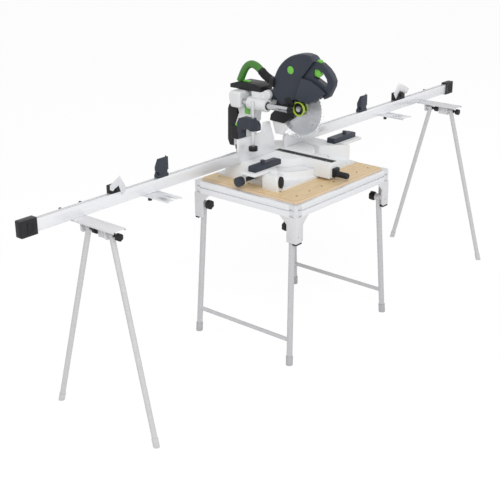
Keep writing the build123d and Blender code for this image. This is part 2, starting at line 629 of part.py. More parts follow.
def trestle_leg(sx, front):
    start, end = trestle_line(sx, front)
    y0, y1 = front_barrel if front else rear_barrel
    tip = along(start, end, foot_pocket)
    leg = tube_between(start, tip, trestle_leg_r)
    leg += rod_y(head_x(sx), trestle_hinge_z, y0, y1, trestle_barrel_r)
    neck = along(end, start, trestle_barrel_r + 2 * trestle_leg_wall)
    leg -= tube_between(neck, tip, trestle_leg_r - trestle_leg_wall)
    leg -= rod_y(head_x(sx), trestle_hinge_z, y0, y1, trestle_pin_r + running_fit)
    top = along(start, end, trestle_cap_height)
    cap = tube_between(top, along(start, end, -trestle_cap_r), trestle_cap_r)
    cap -= tube_between(top, tip, trestle_leg_r)
    return [leg, cap - floor_cut(trestle_cap_r)]


def trestle_knob(sx, front):
    y0 = (front_barrel if front else rear_barrel)[0] - gap
    bore = trestle_knob_neck_length + trestle_knob_length / 2 + wall_gap
    return lobed_knob(head_x(sx), trestle_hinge_z, y0, -1, trestle_knob_neck_r,
                      trestle_knob_neck_length, trestle_knob_r, trestle_knob_length,
                      trestle_pin_r + running_fit, bore)


# Rails

def rail(span):
    x0, x1 = span
    w = rail_wall
    body = box(x0, x1, rail_front, rail_back, rail_bottom, rail_top)
    body -= box(x0, x1, rail_front + w, rail_back - w, rail_bottom + w, rail_top - w)
    for row in rail_groove_rows:
        y = rail_front + row
        body -= box(x0, x1, y, y + rail_groove_width, rail_top - rail_groove_depth, rail_top)
    return body


def rail_cap(span, rail_end, sign):
    x0, x1 = span
    cap = box(x0, x1, cap_front, cap_back, cap_bottom, cap_top)
    outer = x0 if sign < 0 else x1
    edges = cap.faces().sort_by(Axis.X)[0 if sign < 0 else -1].edges()
    cap = fillet(edges, cap_round)
    middle = (x0 + x1) / 2
    low, high = cap_bottom + cap_recess_margin, cap_top - cap_recess_margin
    radius = (high - low) / 2
    disc = rod_y(middle, (low + high) / 2, cap_front, cap_front + cap_recess, radius)
    web = box(middle - cap_recess_web / 2, middle + cap_recess_web / 2, cap_front,
              cap_front + cap_recess, low, high)
    cap -= disc - web
    w = rail_wall
    inner = rail_end - sign * cap_plug_length
    plug = box(rail_end, inner, rail_front + w, rail_back - w, rail_bottom + w, rail_top - w)
    return cap + plug


def rail_end_caps():
    return [rail_cap(cap_left_span, left_rail_span[0], -1),
            rail_cap(cap_right_span, right_rail_span[1], 1)]


def rail_coupler(rail_end, foot_x, base_x, sign):
    """Bar that fills the inner rail end and stands on the saw base; sign points outward."""
    w = rail_wall
    y0, y1 = coupler_back
    low, high = rail_bottom + w, rail_top - w
    bar = box(rail_end, rail_end + sign * coupler_reach, rail_front + w + gap, y1, low, high)
    bar += box(foot_x, rail_end, y0, y1, low, high)
    bar += box(foot_x, base_x, y0, coupler_foot_y, wing_top, wing_top + coupler_foot_thick)
    return bar + box(foot_x, base_x, y0, y1, wing_top, low)


def rail_couplers():
    return [rail_coupler(left_rail_span[1], coupler_left_x, coupler_base_left, -1),
            rail_coupler(right_rail_span[0], coupler_right_x, coupler_base_right, 1)]


# Stops and supports on the rails

def stop_carrier(x):
    half, cheek = stop_width / 2, stop_cheek
    y0, y1 = stop_front, stop_clip_back
    slot_y = rail_back + gap
    base = box(x - half, x + half, y0, y1, rail_top + gap, stop_base_top)
    base += box(x - half, x + half, slot_y, y1, stop_clip_bottom, rail_top + gap)
    eye = stop_hinge_y, stop_hinge_z
    for side in (-1, 1):
        x0, x1 = sorted((x + side * half, x + side * (half - cheek)))
        base += rod_x(*eye, x0, x1, stop_eye_r)
        base += box(x0, x1, stop_hinge_y - stop_eye_r, stop_hinge_y + stop_eye_r,
                    stop_base_top, stop_hinge_z)
    return base + rod_x(*eye, x - half, x + half, stop_pin_r)


def stop_flap(x):
    half = stop_width / 2
    inner = half - stop_cheek - gap
    low = stop_base_top + wall_gap
    y1 = stop_hinge_y
    outline = [(stop_front, low), (y1, stop_hinge_z - stop_eye_r), (y1 + stop_eye_r, stop_hinge_z),
               (stop_rear, stop_knee_z), (stop_shoulder_y, stop_top), (stop_front, stop_top)]
    flap = slab_x(outline, x - inner, x + inner)
    flap += rod_x(stop_hinge_y, stop_hinge_z, x - inner, x + inner, stop_eye_r)
    wide_low = stop_hinge_z + stop_eye_r + wall_gap
    upper = [(stop_front, wide_low), (stop_rear, wide_low), (stop_rear, stop_knee_z),
             (stop_shoulder_y, stop_top), (stop_front, stop_top)]
    flap += slab_x(upper, x - half, x + half)
    bore = stop_pin_r + running_fit
    flap -= rod_x(stop_hinge_y, stop_hinge_z, x - inner, x + inner, bore)
    peg_x, peg_y = x + inner - 2 * stop_peg_r, (stop_front + stop_shoulder_y) / 2
    return flap + rod_z(peg_x, peg_y, stop_top, stop_top + stop_peg_height, stop_peg_r)


def edge_flange(points, i):
    """A narrow bent edge along one side of the sheet outline."""
    (xa, za), (xb, zb) = points[i], points[(i + 1) % len(points)]
    dx, dz = xb - xa, zb - za
    length = math.hypot(dx, dz)
    nx, nz = -dz / length * angle_sheet, dx / length * angle_sheet
    strip = [(xa, za), (xb, zb), (xb + nx, zb + nz), (xa + nx, za + nz)]
    return slab_y(strip, angle_face_y, angle_flange_y + angle_flange_out)


def angle_stop(points, clamp, knob):
    sheet = slab_y(points, angle_face_y, angle_face_y + angle_sheet)
    x0, x1, high = clamp
    y0, y1 = angle_flange_y, stop_clip_back
    block = box(x0, x1, y0, y1, rail_top + gap, high)
    block += box(x0, x1, rail_back + gap, y1, stop_clip_bottom, rail_top + gap)
    x, z, r = knob
    block += rod_y(x, z, y0 - angle_knob_out, y0, r)
    return sheet, block


def left_angle_stop():
    sheet, block = angle_stop(angle_left, angle_clamp_left, angle_knob_left)
    return [sheet, block]


def right_angle_stop():
    sheet, block = angle_stop(angle_right, angle_clamp_right, angle_knob_right)
    return [sheet, block]


def side_support(span):
    x0, x1 = span
    t = support_sheet
    high, low = support_top, support_bottom
    body = box(x0, x1, support_front, support_rear, high - t, high)
    for edge, side in ((x0, 1), (x1, -1)):
        body += box(edge, edge + side * t, support_front, support_rear, low, high - t)
    middle, half = (x0 + x1) / 2, support_notch_width / 2
    deep = support_front + support_notch_depth
    body -= box(middle - half, middle + half, support_front, deep, low, high)
    body -= rod_z(middle, deep, low, high, half)
    tail_y = support_hook_back
    body += box(middle - 2 * half, middle + 2 * half, support_rear, tail_y, high - 2 * t, high)
    hook = box(middle - 2 * half, middle + 2 * half, rail_back + gap, tail_y, high, support_hook_top)
    body += hook
    knob_x = x0 + support_knob_r + t + wall_gap
    knob = rod_z(knob_x, support_knob_y, high - t - support_knob_height, high - t, support_knob_r)
    return [body, knob]


# Saw base, fence and clamp

def wing(sign):
    """One casting beside the turntable; sign is -1 on the left."""
    def outline(spare):
        inner, outer = saw_x + sign * (wing_inner + spare), saw_x + sign * (wing_outer - spare)
        slope = (wing_inner_front - wing_outer_front) / (wing_outer - wing_inner)
        front_in = wing_inner_front - slope * spare + 1.5 * spare
        front_out = wing_outer_front + slope * spare + 1.5 * spare
        rear = wing_rear - spare
        return [(outer, front_out), (inner, front_in), (inner, rear), (outer, rear)]
    body = slab_z(outline(0), flange_top, wing_top)
    return body - slab_z(outline(wing_wall), flange_top, wing_top - wing_roof - extension_thick)


def extension_recess(sign):
    spans = left_extension_x if sign < 0 else right_extension_x
    outer = saw_x + sign * wing_outer
    inner = spans[2] - sign * 2
    low = wing_top - extension_thick - gap
    return box(outer, inner, extension_tongue_front - gap, extension_rear + gap, low, wing_top)


def saw_base():
    body = box(flange_left, flange_right, flange_front, flange_rear, base_bottom, flange_top)
    drum = rod_z(saw_x, pivot_y, base_bottom, drum_top, drum_r)
    reach = 2 * drum_r
    keep = box(saw_x - reach, saw_x + reach, flange_front, drum_rear, base_bottom, drum_top)
    body += drum & keep
    for sign in (-1, 1):
        body += wing(sign)
    hollow = rod_z(saw_x, pivot_y, base_bottom, drum_top - drum_roof, drum_hollow_r)
    cut_rear = drum_rear - wing_wall
    front_keep = flange_front + 2 * wing_wall
    hollow &= box(saw_x - reach, saw_x + reach, front_keep, cut_rear, base_bottom, drum_top)
    body -= hollow
    body += rod_z(saw_x, pivot_y, drum_top - drum_roof, pivot_pin_top, pivot_pin_r)
    x0, x1, y0, y1, high = foot_block
    block = box(x0, x1, y0, y1, base_bottom, high)
    block = fillet(block.edges().filter_by(Axis.Z), foot_block_round)
    body += block
    for sign in (-1, 1):
        body -= extension_recess(sign)
    wing_end = saw_x - wing_outer
    bore_end = side_rod_end + 2 * wall_gap
    body -= rod_x(side_knob_y, side_knob_z, wing_end, bore_end, side_rod_r + running_fit)
    for x, y in base_screw_places():
        body -= rod_z(x, y, base_bottom, flange_top, base_screw_r + base_screw_clearance)
        body -= rod_z(x, y, flange_top - base_screw_sink, flange_top, base_screw_head_r + wall_gap)
    return body


def fence_half(outline, foot_span, ribs):
    plate = slab_y(outline, fence_front, fence_rear)
    x0, x1 = foot_span
    plate += box(x0, x1, fence_rear, fence_foot_rear, wing_top, wing_top + fence_foot_thick)
    high = wing_top + fence_foot_thick
    rib = [(fence_rear, high), (fence_foot_rear, high), (fence_rear, high + fence_rib_height)]
    for x in ribs:
        plate += slab_x(rib, x - fence_rib_thick / 2, x + fence_rib_thick / 2)
    return plate


def saw_fence():
    left_foot = (coupler_left_x + gap, saw_x - wing_inner)
    right_foot = (saw_x + wing_inner, coupler_right_x - gap)
    return [fence_half(fence_left_outline, left_foot, fence_left_ribs),
            fence_half(fence_right_outline, right_foot, fence_right_ribs)]


def clamp_arm():
    """Block on the fence with the arch that carries the spindle."""
    x, half = clamp_x, clamp_block_half
    low, high = clamp_block_span
    body = box(x - half, x + half, fence_rear, fence_rear + clamp_block_depth, low, high)
    bottom, top = clamp_eye_span
    outline = [(clamp_arm_foot_y[0], high)]
    outline += [(y, top - drop) for y, drop in clamp_arm_crown]
    outline += [(y, bottom + rise) for y, rise in clamp_arm_underside]
    outline.append((clamp_arm_foot_y[1], high))
    body += slab_x(outline, x - clamp_arm_half, x + clamp_arm_half)
    body += rod_z(x, clamp_eye_y, bottom, top, clamp_eye_r)
    return body - rod_z(x, clamp_eye_y, bottom, top, spindle_r + running_fit)


def clamp_spindle():
    x, y = clamp_x, clamp_eye_y
    bottom, top = clamp_eye_span
    end = top + clamp_travel + wall_gap
    body = rod_z(x, y, spindle_bottom, end, spindle_r)
    body += rod_z(x, y, spindle_bottom, bottom - wall_gap, spindle_sleeve_r)
    body += rod_z(x, y, end, end + spindle_grip_length, spindle_grip_r)
    return [body, rod_z(x, y, pad_bottom, pad_top, pad_r)]


# Turntable

def turntable():
    disc = rod_z(saw_x, pivot_y, table_bottom, table_top, table_r)
    x0, x1 = saw_x - arm_half, saw_x + arm_half
    body = disc + box(x0, x1, arm_front, pivot_y, table_bottom, table_top)
    nose = box(x0, x1, arm_front, pivot_y - table_r, arm_low, table_bottom)
    body += nose - rod_z(saw_x, pivot_y, arm_low, table_bottom, arm_clear_r)
    x0, x1 = saw_x - rear_arm_half, saw_x + rear_arm_half
    body += box(x0, x1, pivot_y, rear_arm_y, table_bottom, rear_arm_top)
    body += rod_y(saw_x, table_top, bevel_barrel_front, rear_arm_y, bevel_r)
    body -= rod_y(saw_x, table_top, bevel_bolt_start, rear_arm_y, bevel_bolt_r + running_fit)
    body -= rod_z(saw_x, pivot_y, table_bottom, pivot_bore_top, pivot_pin_r + running_fit)
    low = table_top - insert_thick
    x0, x1 = saw_x - insert_half, saw_x + insert_half
    body -= box(x0, x1, insert_front, insert_rear, low, table_top)
    x0, x1 = saw_x - channel_half, saw_x + channel_half
    return body - box(x0, x1, kerf_front, kerf_rear, kerf_bottom, low)


def kerf_insert():
    """Two boards, one on each side of the slot for the blade."""
    low = table_top - insert_thick
    return [box(saw_x + side * kerf_half, saw_x + side * insert_half, insert_front, insert_rear,
                low, table_top) for side in (-1, 1)]


def mitre_lever():
    x0, x1 = saw_x - lever_half, saw_x + lever_half
    block = box(x0, x1, arm_front - lever_out, arm_front, lever_low, lever_high)
    y0 = arm_front - lever_out
    grip = rod_y(saw_x, grip_z, grip_end, y0, grip_r)
    end = grip.faces().filter_by(Axis.Y).sort_by(Axis.Y)[0]
    grip = fillet(end.edges(), grip_r / 2)
    return block + grip


def extension_sheet(sign):
    outer, step, inner = left_extension_x if sign < 0 else right_extension_x
    y0, y1, tongue = extension_front, extension_rear, extension_tongue_front
    outline = [(outer, y0), (step, y0), (step, tongue), (inner, tongue), (inner, y1), (outer, y1)]
    return slab_z(outline, table_top - extension_thick, table_top)


def block_outline(sign):
    (x0, x1), step = (left_block_x, left_extension_x[1]) if sign < 0 else (
        right_block_x, right_extension_x[1])
    lift = table_top + gap
    if sign < 0:
        low = [(x0, table_top), (step, table_top), (step, lift), (x1, lift)]
    else:
        low = [(x0, lift), (step, lift), (step, table_top), (x1, table_top)]
    return low + [(x1, block_top - block_round), (x1 - block_round, block_top),
                  (x0 + block_round, block_top), (x0, block_top - block_round)]


def clamp_block(sign):
    y0, y1 = left_block_y if sign < 0 else right_block_y
    body = slab_y(block_outline(sign), y0, y1)
    x, y = left_block_knob if sign < 0 else right_block_knob
    return body + rod_z(x, y, block_top, block_top + block_knob_height, block_knob_r)


def left_extension():
    sheet = extension_sheet(-1)
    x0, x1 = side_lug_x
    half = side_lug_half
    low, high = side_knob_z - half, table_top - extension_thick
    y0, y1 = side_knob_y - half, side_knob_y + half
    lug = box(x0, x1, y0, y1, low, side_knob_z + half)
    lug += box(x0, x1, y0, extension_rear, side_knob_z + half, high)
    return sheet + (lug - rod_x(side_knob_y, side_knob_z, x0, x1, side_rod_r))


def left_clamp_block():
    y, z = side_knob_y, side_knob_z
    x0, x1 = side_knob_x
    knob = rod_x(y, z, x0, x1, side_knob_r)
    knob += rod_x(y, z, x1, side_rod_end, side_rod_r)
    return [clamp_block(-1), knob]


# Column, carriage and head

def bevel_column():
    body = slab_x(column_stem, saw_x - column_half, saw_x + column_half)
    head = slab_x(column_head, saw_x - column_head_half, saw_x + column_head_half)
    body += fillet(head.edges(), column_head_round)
    body += rod_y(saw_x, table_top, hinge_barrel_front, hinge_barrel_rear, bevel_r)
    body += rod_y(saw_x, table_top, bevel_bolt_start + wall_gap, hinge_barrel_front, bevel_bolt_r)
    for side in (-1, 1):
        body -= rod_y(saw_x + side * rod_offset, guide_z, column_head[0][0], rod_rear, rod_r)
    y0, y1 = window_y
    z0, z1 = window_z
    for side in (-1, 1):
        outer = saw_x + side * column_half
        body -= box(outer, outer - side * window_depth, y0, y1, z0, z1)
    x, z, r = bevel_knob_x, bevel_knob_z, bevel_knob_r
    y0 = bevel_knob_y[1] + gap
    lug = box(x, saw_x - column_half, y0, y0 + bevel_lug, z - r, z + r)
    lug += rod_y(x, z, y0, y0 + bevel_lug, r)
    pin = rod_y(x, z, bevel_knob_pin_front, y0, bevel_knob_pin_r)
    return body + lug + pin


def column_covers():
    shell = slab_x(cover_outline, saw_x - cover_half, saw_x + cover_half)
    ring = Pos(saw_x, loop_y, loop_z) * Rot(0, 90, 0) * Torus(loop_r, loop_tube_r)
    neck = rod_z(saw_x, loop_y, cover_outline[5][1], loop_z - loop_r, loop_tube_r)
    caps = []
    for side in (-1, 1):
        x = saw_x + side * rod_offset
        caps.append(rod_y(x, guide_z, rod_front - rod_cap_length, rod_front, rod_r + wall_gap))
    outer = saw_x - column_half
    side = box(outer - side_box_reach, outer, *side_box_y, *side_box_z)
    side = fillet(side.faces().sort_by(Axis.X)[0].edges(), side_box_round)
    return [shell + ring + neck, side] + caps


def guide_rods():
    rods = []
    for side in (-1, 1):
        rods.append(rod_y(saw_x + side * rod_offset, guide_z, rod_front, rod_rear, rod_r))
    return rods


def bevel_knob():
    x, z = bevel_knob_x, bevel_knob_z
    y0, y1 = bevel_knob_y
    body = rod_y(x, z, y0, y1, bevel_knob_r)
    body += rod_y(x, z, y0 - bevel_knob_ring, y0, bevel_knob_ring_r)
    return body - rod_y(x, z, bevel_knob_pin_front - wall_gap, y1, bevel_knob_pin_r + running_fit)


def carriage():
    y0, y1 = boss_y
    body = None
    for side in (-1, 1):
        tube = rod_y(saw_x + side * rod_offset, guide_z, y0, y1, boss_outer_r)
        body = tube if body is None else body + tube
    z0, z1 = cross_z
    reach = rod_offset
    body += box(saw_x - reach, saw_x + reach, cross_front, y1, z0, z1)
    inner = lug_half + fork_gap
    for side in (-1, 1):
        x0, x1 = sorted((saw_x + side * inner, saw_x + side * (inner + fork_thick)))
        body += rod_x(chop_y, chop_z, x0, x1, chop_eye_r)
        arm = [(cross_front, z0), (cross_front, z1), (chop_y - chop_eye_r, chop_z),
               (chop_y, chop_z + chop_eye_r), (carriage_back[0], carriage_top),
               (y1, carriage_top), (y1, z0)]
        body += slab_x(arm, x0, x1)
    half = carriage_back_half
    body += box(saw_x - half, saw_x + half, carriage_back[0], y1, z1, carriage_top)
    body += rod_x(chop_y, chop_z, saw_x - inner, saw_x + inner, chop_pin_r)
    for side in (-1, 1):
        body -= rod_y(saw_x + side * rod_offset, guide_z, y0, y1, rod_r + running_fit)
    return body


def dust_port_cover():
    body = slab_x(port_outline, saw_x - port_half, saw_x + port_half)
    bore = rod_z(hose_x, hose_route[0][0], port_outline[3][1] - 2 * hose_wall, port_outline[3][1],
                 hose_r)
    return body - bore


def guard_outline():
    arc = arc_points(guard_centre, guard_r, guard_arc_angles[0], guard_arc_angles[1], 24)
    return guard_seam + [guard_top_start] + arc + guard_back


def blade_guard():
    x0, x1 = saw_x - guard_half, saw_x + guard_half
    body = slab_x(guard_outline(), x0, x1)
    rim = [e for e in body.edges() if min((e @ 0).Z, (e @ 1).Z) >= guard_back[0][1]
           and min((e @ 0).Y, (e @ 1).Y) >= guard_top_start[0] and (e @ 0).X == (e @ 1).X]
    body = fillet(rim, guard_round)
    w = guard_wall
    body -= rod_x(arbor_y, arbor_z, x0 + w, x1 - w, guard_cavity_r)
    y, z = chop_y, chop_z
    r = chop_eye_r - wall_gap
    front = y - chop_lug_reach
    lug = [(y, z + r), (front, z + r), (front, z - r), (y, z - r)]
    eye = slab_x(lug, saw_x - lug_half, saw_x + lug_half)
    eye += rod_x(y, z, saw_x - lug_half, saw_x + lug_half, r)
    eye -= rod_x(arbor_y, arbor_z, x0 + w, x1 - w, guard_cavity_r)
    body += eye
    body -= rod_x(y, z, saw_x - lug_half, saw_x + lug_half, chop_pin_r + running_fit)
    socket_z = hose_route[-1][1]
    body += rod_y(hose_x, socket_z, socket_front, socket_back, socket_r)
    body -= rod_y(hose_x, socket_z, socket_floor, socket_back, socket_bore_r)
    body -= rod_x(badge_y, badge_z, x0, x0 + badge_depth, badge_r)
    for share_y, share_z in guard_screw_shares:
        y, z = guard_centre[0] + guard_r * share_y, guard_centre[1] + guard_r * share_z
        body -= rod_x(y, z, x0, x0 + badge_depth, guard_screw_r)
    body += slab_x(chip_block, x0 - chip_block_proud, x0 + chip_block_thick)
    body += slab_x(guard_plate, x0 - guard_plate_thick, x0 + wall_gap)
    inner = x0 + chip_flap_inset
    return [body, slab_x(chip_flap, inner, inner + chip_flap_thick)]


def motor_housing():
    x0, x1 = saw_x - guard_half, saw_x + guard_half
    w = guard_wall
    shell = slab_x(shell_outline, x0, x1)
    shell -= rod_x(arbor_y, arbor_z, x0 + w, x1 - w, guard_cavity_r)
    gx0, gx1 = gear_x
    run = Vector(motor_y - arbor_y, motor_z - arbor_z)
    length = run.length
    side = Vector(-run.Y / length, run.X / length)
    hull = [(arbor_y + side.X * gear_r, arbor_z + side.Y * gear_r),
            (motor_y + side.X * gear_motor_r, motor_z + side.Y * gear_motor_r),
            (motor_y - side.X * gear_motor_r, motor_z - side.Y * gear_motor_r),
            (arbor_y - side.X * gear_r, arbor_z - side.Y * gear_r)]
    gear = slab_x(hull, gx0, gx1)
    gear += rod_x(arbor_y, arbor_z, gx0, gx1, gear_r)
    gear += rod_x(motor_y, motor_z, gx0, gx1, gear_motor_r)
    motor = rod_x(motor_y, motor_z, gx1, motor_end, motor_r)
    motor = fillet(motor.edges().sort_by(Axis.X)[-1], block_round)
    gear += motor
    gear += rod_x(arbor_y, arbor_z, arbor_boss_start, gx0, arbor_boss_r)
    gear -= rod_x(arbor_y, arbor_z, arbor_boss_start, gx0, arbor_r + running_fit)
    return [shell, gear]


def saw_handle():
    x0, x1 = handle_x
    body = slab_x(handle_outline, x0, x1)
    body -= slab_x(handle_opening, x0, x1)
    rim = [e for e in body.edges() if (e @ 0).X == (e @ 1).X
           and max((e @ 0).Y, (e @ 1).Y) < handle_outline[1][0]]
    body = fillet(rim, handle_round)
    inner = trigger_half + gap
    body -= slab_x(trigger_pocket, saw_x - inner, saw_x + inner)
    body += rod_x(*trigger_pivot, saw_x - inner, saw_x + inner, trigger_pin_r)
    half = button_half + gap
    y0, y1 = button_y
    high = button_z[1]
    body -= box(saw_x - half, saw_x + half, y0 - gap, y1 + gap, button_well_bottom, high)
    return body


def trigger():
    body = slab_x(trigger_outline, saw_x - trigger_half, saw_x + trigger_half)
    return body - rod_x(*trigger_pivot, saw_x - trigger_half, saw_x + trigger_half,
                        trigger_pin_r + running_fit)


def lock_button():
    y0, y1 = button_y
    z0, z1 = button_z
    return box(saw_x - button_half, saw_x + button_half, y0, y1, z0, z1)


def saw_blade():
    half = blade_thick / 2
    points = []
    for i in range(blade_teeth):
        a = math.radians(360 * i / blade_teeth)
        b = math.radians(360 * (i + 0.75) / blade_teeth)
        root = blade_r - tooth_depth
        points.append((arbor_y + blade_r * math.cos(a), arbor_z + blade_r * math.sin(a)))
        points.append((arbor_y + root * math.cos(b), arbor_z + root * math.sin(b)))
    body = slab_x(points, saw_x - half, saw_x + half)
    body += rod_x(arbor_y, arbor_z, saw_x - half - blade_flange, saw_x - half, blade_flange_r)
    right = arbor_boss_start - gap
    body += rod_x(arbor_y, arbor_z, saw_x + half, right, blade_flange_r)
    body += rod_x(arbor_y, arbor_z, right, gear_x[0] - wall_gap, arbor_r)
    start = saw_x - half - 2 * blade_flange
    return body + rod_x(arbor_y, arbor_z, start, saw_x - half - blade_flange, arbor_nut_r)


def sector(r, first, last, x0, x1):
    """Sector of a disc round the arbor, angles from +Y towards +Z."""
    centre = (arbor_y, arbor_z)
    points = [centre] + arc_points(centre, 2 * r, first, last, 12)
    wedge = slab_x(points, x0, x1)
    return wedge & rod_x(arbor_y, arbor_z, x0, x1, r)


def lower_guard():
    first, last = lower_angles
    outer = lower_guard_r + lower_guard_rim
    t = lower_plate_thick
    xl, xr = lower_left_x, lower_right_x
    body = sector(outer, first, last, xl, xr + t)
    body -= rod_x(arbor_y, arbor_z, xl + t, xr, lower_guard_r)
    hub = rod_x(arbor_y, arbor_z, xr, xr + t, lower_hub_r)
    ring = rod_x(arbor_y, arbor_z, lower_ring_start, xl + t, lower_ring_r)
    body += hub
    body += ring
    body -= rod_x(arbor_y, arbor_z, xr, xr + t, arbor_boss_r + running_fit)
    body -= rod_x(arbor_y, arbor_z, lower_ring_start, xl + t, lower_ring_bore)
    return body


def dust_hose():
    points = [(hose_x, y, z) for y, z in hose_route]
    path = Spline(*points, tangents=[(0, 0, 1), (0, -1, 0)])
    def swept(r):
        return sweep(Plane(origin=path @ 0, z_dir=path % 0) * Circle(r), path=path)
    outer = swept(hose_r)
    for i in range(cuff_ribs):
        at = cuff_start_share + (1 - cuff_start_share) * (i + 0.5) / cuff_ribs
        place = Plane(origin=path @ at, z_dir=path % at)
        outer += place * Cylinder(cuff_rib_r, cuff_rib_width)
    return outer - swept(hose_r - hose_wall)


# Pins, screws and small fixed knobs

def fasteners():
    parts = []
    for sx in (-1, 1):
        for sy in (-1, 1):
            z = hinge_z(sx)
            parts.append(corner_rod(sx, sy, socket_v - plate_thick, leg_pin_end, z, leg_pin_r))
        x = head_x(sx)
        z = trestle_hinge_z
        reach = trestle_knob_neck_length + trestle_knob_length / 2
        back = pivot_front_plate_y + pivot_plate_thick
        parts.append(rod_y(x, z, front_barrel[0] - gap - reach, back, trestle_pin_r))
        back = pivot_rear_plate_y + pivot_plate_thick
        parts.append(rod_y(x, z, rear_barrel[0] - gap - reach, back, trestle_pin_r))
    for x, y in base_screw_places():
        head = flange_top - base_screw_sink
        low = wood_bottom - nut_height
        screw = rod_z(x, y, low, head, base_screw_r)
        screw += rod_z(x, y, head, head + base_screw_head, base_screw_head_r)
        parts.append(screw + rod_z(x, y, low, wood_bottom, nut_r))
    for x in rail_bolt_x:
        parts.append(rod_y(x, rail_bolt_z, rail_back, rail_back + rail_bolt_length, rail_bolt_r))
    x = coupler_base_left + coupler_knob_inset
    foot = wing_top + coupler_foot_thick
    top = foot + coupler_knob_height
    knob = rod_z(x, coupler_knob_y, foot, top, coupler_stem_r)
    parts.append(knob + rod_z(x, coupler_knob_y, top - 2 * coupler_knob_r, top, coupler_knob_r))
    neck_y = foot_block[2] - foot_knob_neck
    plate = Pos(foot_knob_x, neck_y, foot_knob_z) * Rot(90, 0, 0) * extrude(
        Ellipse(foot_knob_half_x, foot_knob_half_z), foot_knob_depth)
    neck = rod_y(foot_knob_x, foot_knob_z, neck_y, foot_block[2], foot_knob_half_x / 2)
    parts.append(plate + neck)
    return parts


nodes = {
    "frame_profiles": frame_profiles,
    "corner_connectors": corner_connectors,
    "work_top": work_top,
    "leg_brackets": leg_brackets,
    "bracket_plugs": bracket_plugs,
    "left_rail": lambda: rail(left_rail_span),
    "right_rail": lambda: rail(right_rail_span),
    "rail_end_caps": rail_end_caps,
    "rail_couplers": rail_couplers,
    "trestle_heads": trestle_heads,
    "saw_base": saw_base,
    "saw_fence": saw_fence,
    "clamp_arm": clamp_arm,
    "fasteners": fasteners,
    "left_leg_frame": lambda: leg_frame(-1),
    "right_leg_frame": lambda: leg_frame(1),
    "left_leg_feet": lambda: leg_feet(-1),
    "right_leg_feet": lambda: leg_feet(1),
    "trestle_leg_left_front": lambda: trestle_leg(-1, True),
    "trestle_leg_left_rear": lambda: trestle_leg(-1, False),
    "trestle_leg_right_front": lambda: trestle_leg(1, True),
    "trestle_leg_right_rear": lambda: trestle_leg(1, False),
    "leg_knob_left_front": lambda: table_knob(-1, -1),
    "leg_knob_left_rear": lambda: table_knob(-1, 1),
    "leg_knob_right_front": lambda: table_knob(1, -1),
    "leg_knob_right_rear": lambda: table_knob(1, 1),
    "trestle_knob_left_front": lambda: trestle_knob(-1, True),
    "trestle_knob_left_rear": lambda: trestle_knob(-1, False),
    "trestle_knob_right_front": lambda: trestle_knob(1, True),
    "trestle_knob_right_rear": lambda: trestle_knob(1, False),
    "left_stop_carrier": lambda: stop_carrier(left_stop_x),
    "left_stop_flap": lambda: stop_flap(left_stop_x),
    "right_stop_carrier": lambda: stop_carrier(right_stop_x),
    "right_stop_flap": lambda: stop_flap(right_stop_x),
    "left_angle_stop": left_angle_stop,
    "right_angle_stop": right_angle_stop,
    "left_side_support": lambda: side_support(support_left_x),
    "right_side_support": lambda: side_support(support_right_x),
    "clamp_spindle": clamp_spindle,
    "turntable": turntable,
    "kerf_insert": kerf_insert,
    "mitre_lever": mitre_lever,
    "left_extension": left_extension,
    "right_extension": lambda: extension_sheet(1),
    "left_clamp_block": left_clamp_block,
    "right_clamp_block": lambda: clamp_block(1),
    "bevel_column": bevel_column,
    "column_covers": column_covers,
    "guide_rods": guide_rods,
    "bevel_knob": bevel_knob,
    "carriage": carriage,
    "dust_port_cover": dust_port_cover,
    "blade_guard": blade_guard,
    "motor_housing": motor_housing,
    "saw_handle": saw_handle,
    "trigger": trigger,
    "lock_button": lock_button,
    "saw_blade": saw_blade,
    "lower_guard": lower_guard,
    "dust_hose": dust_hose,
}


def solids_of(shape):
    """Every solid of a node, from one shape or a list of shapes."""
    found = []
    for piece in shape if isinstance(shape, list) else [shape]:
        found += piece.solids()
    return found


made = {name: solids_of(make()) for name, make in nodes.items()}
boxes = [s.bounding_box() for solids in made.values() for s in solids]
left, right = min(b.min.X for b in boxes), max(b.max.X for b in boxes)
front, back = min(b.min.Y for b in boxes), max(b.max.Y for b in boxes)
shift = Vector((left + right) / -2, (front + back) / -2, -min(b.min.Z for b in boxes))

os.makedirs("parts", exist_ok=True)
for name, solids in made.items():
    moved = [Pos(shift.X, shift.Y, shift.Z) * s for s in solids]
    export_step(moved[0] if len(moved) == 1 else Compound(children=moved), f"parts/{name}.step")
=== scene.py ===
import bmesh
import bpy
import json
import math
from mathutils import Matrix, Vector


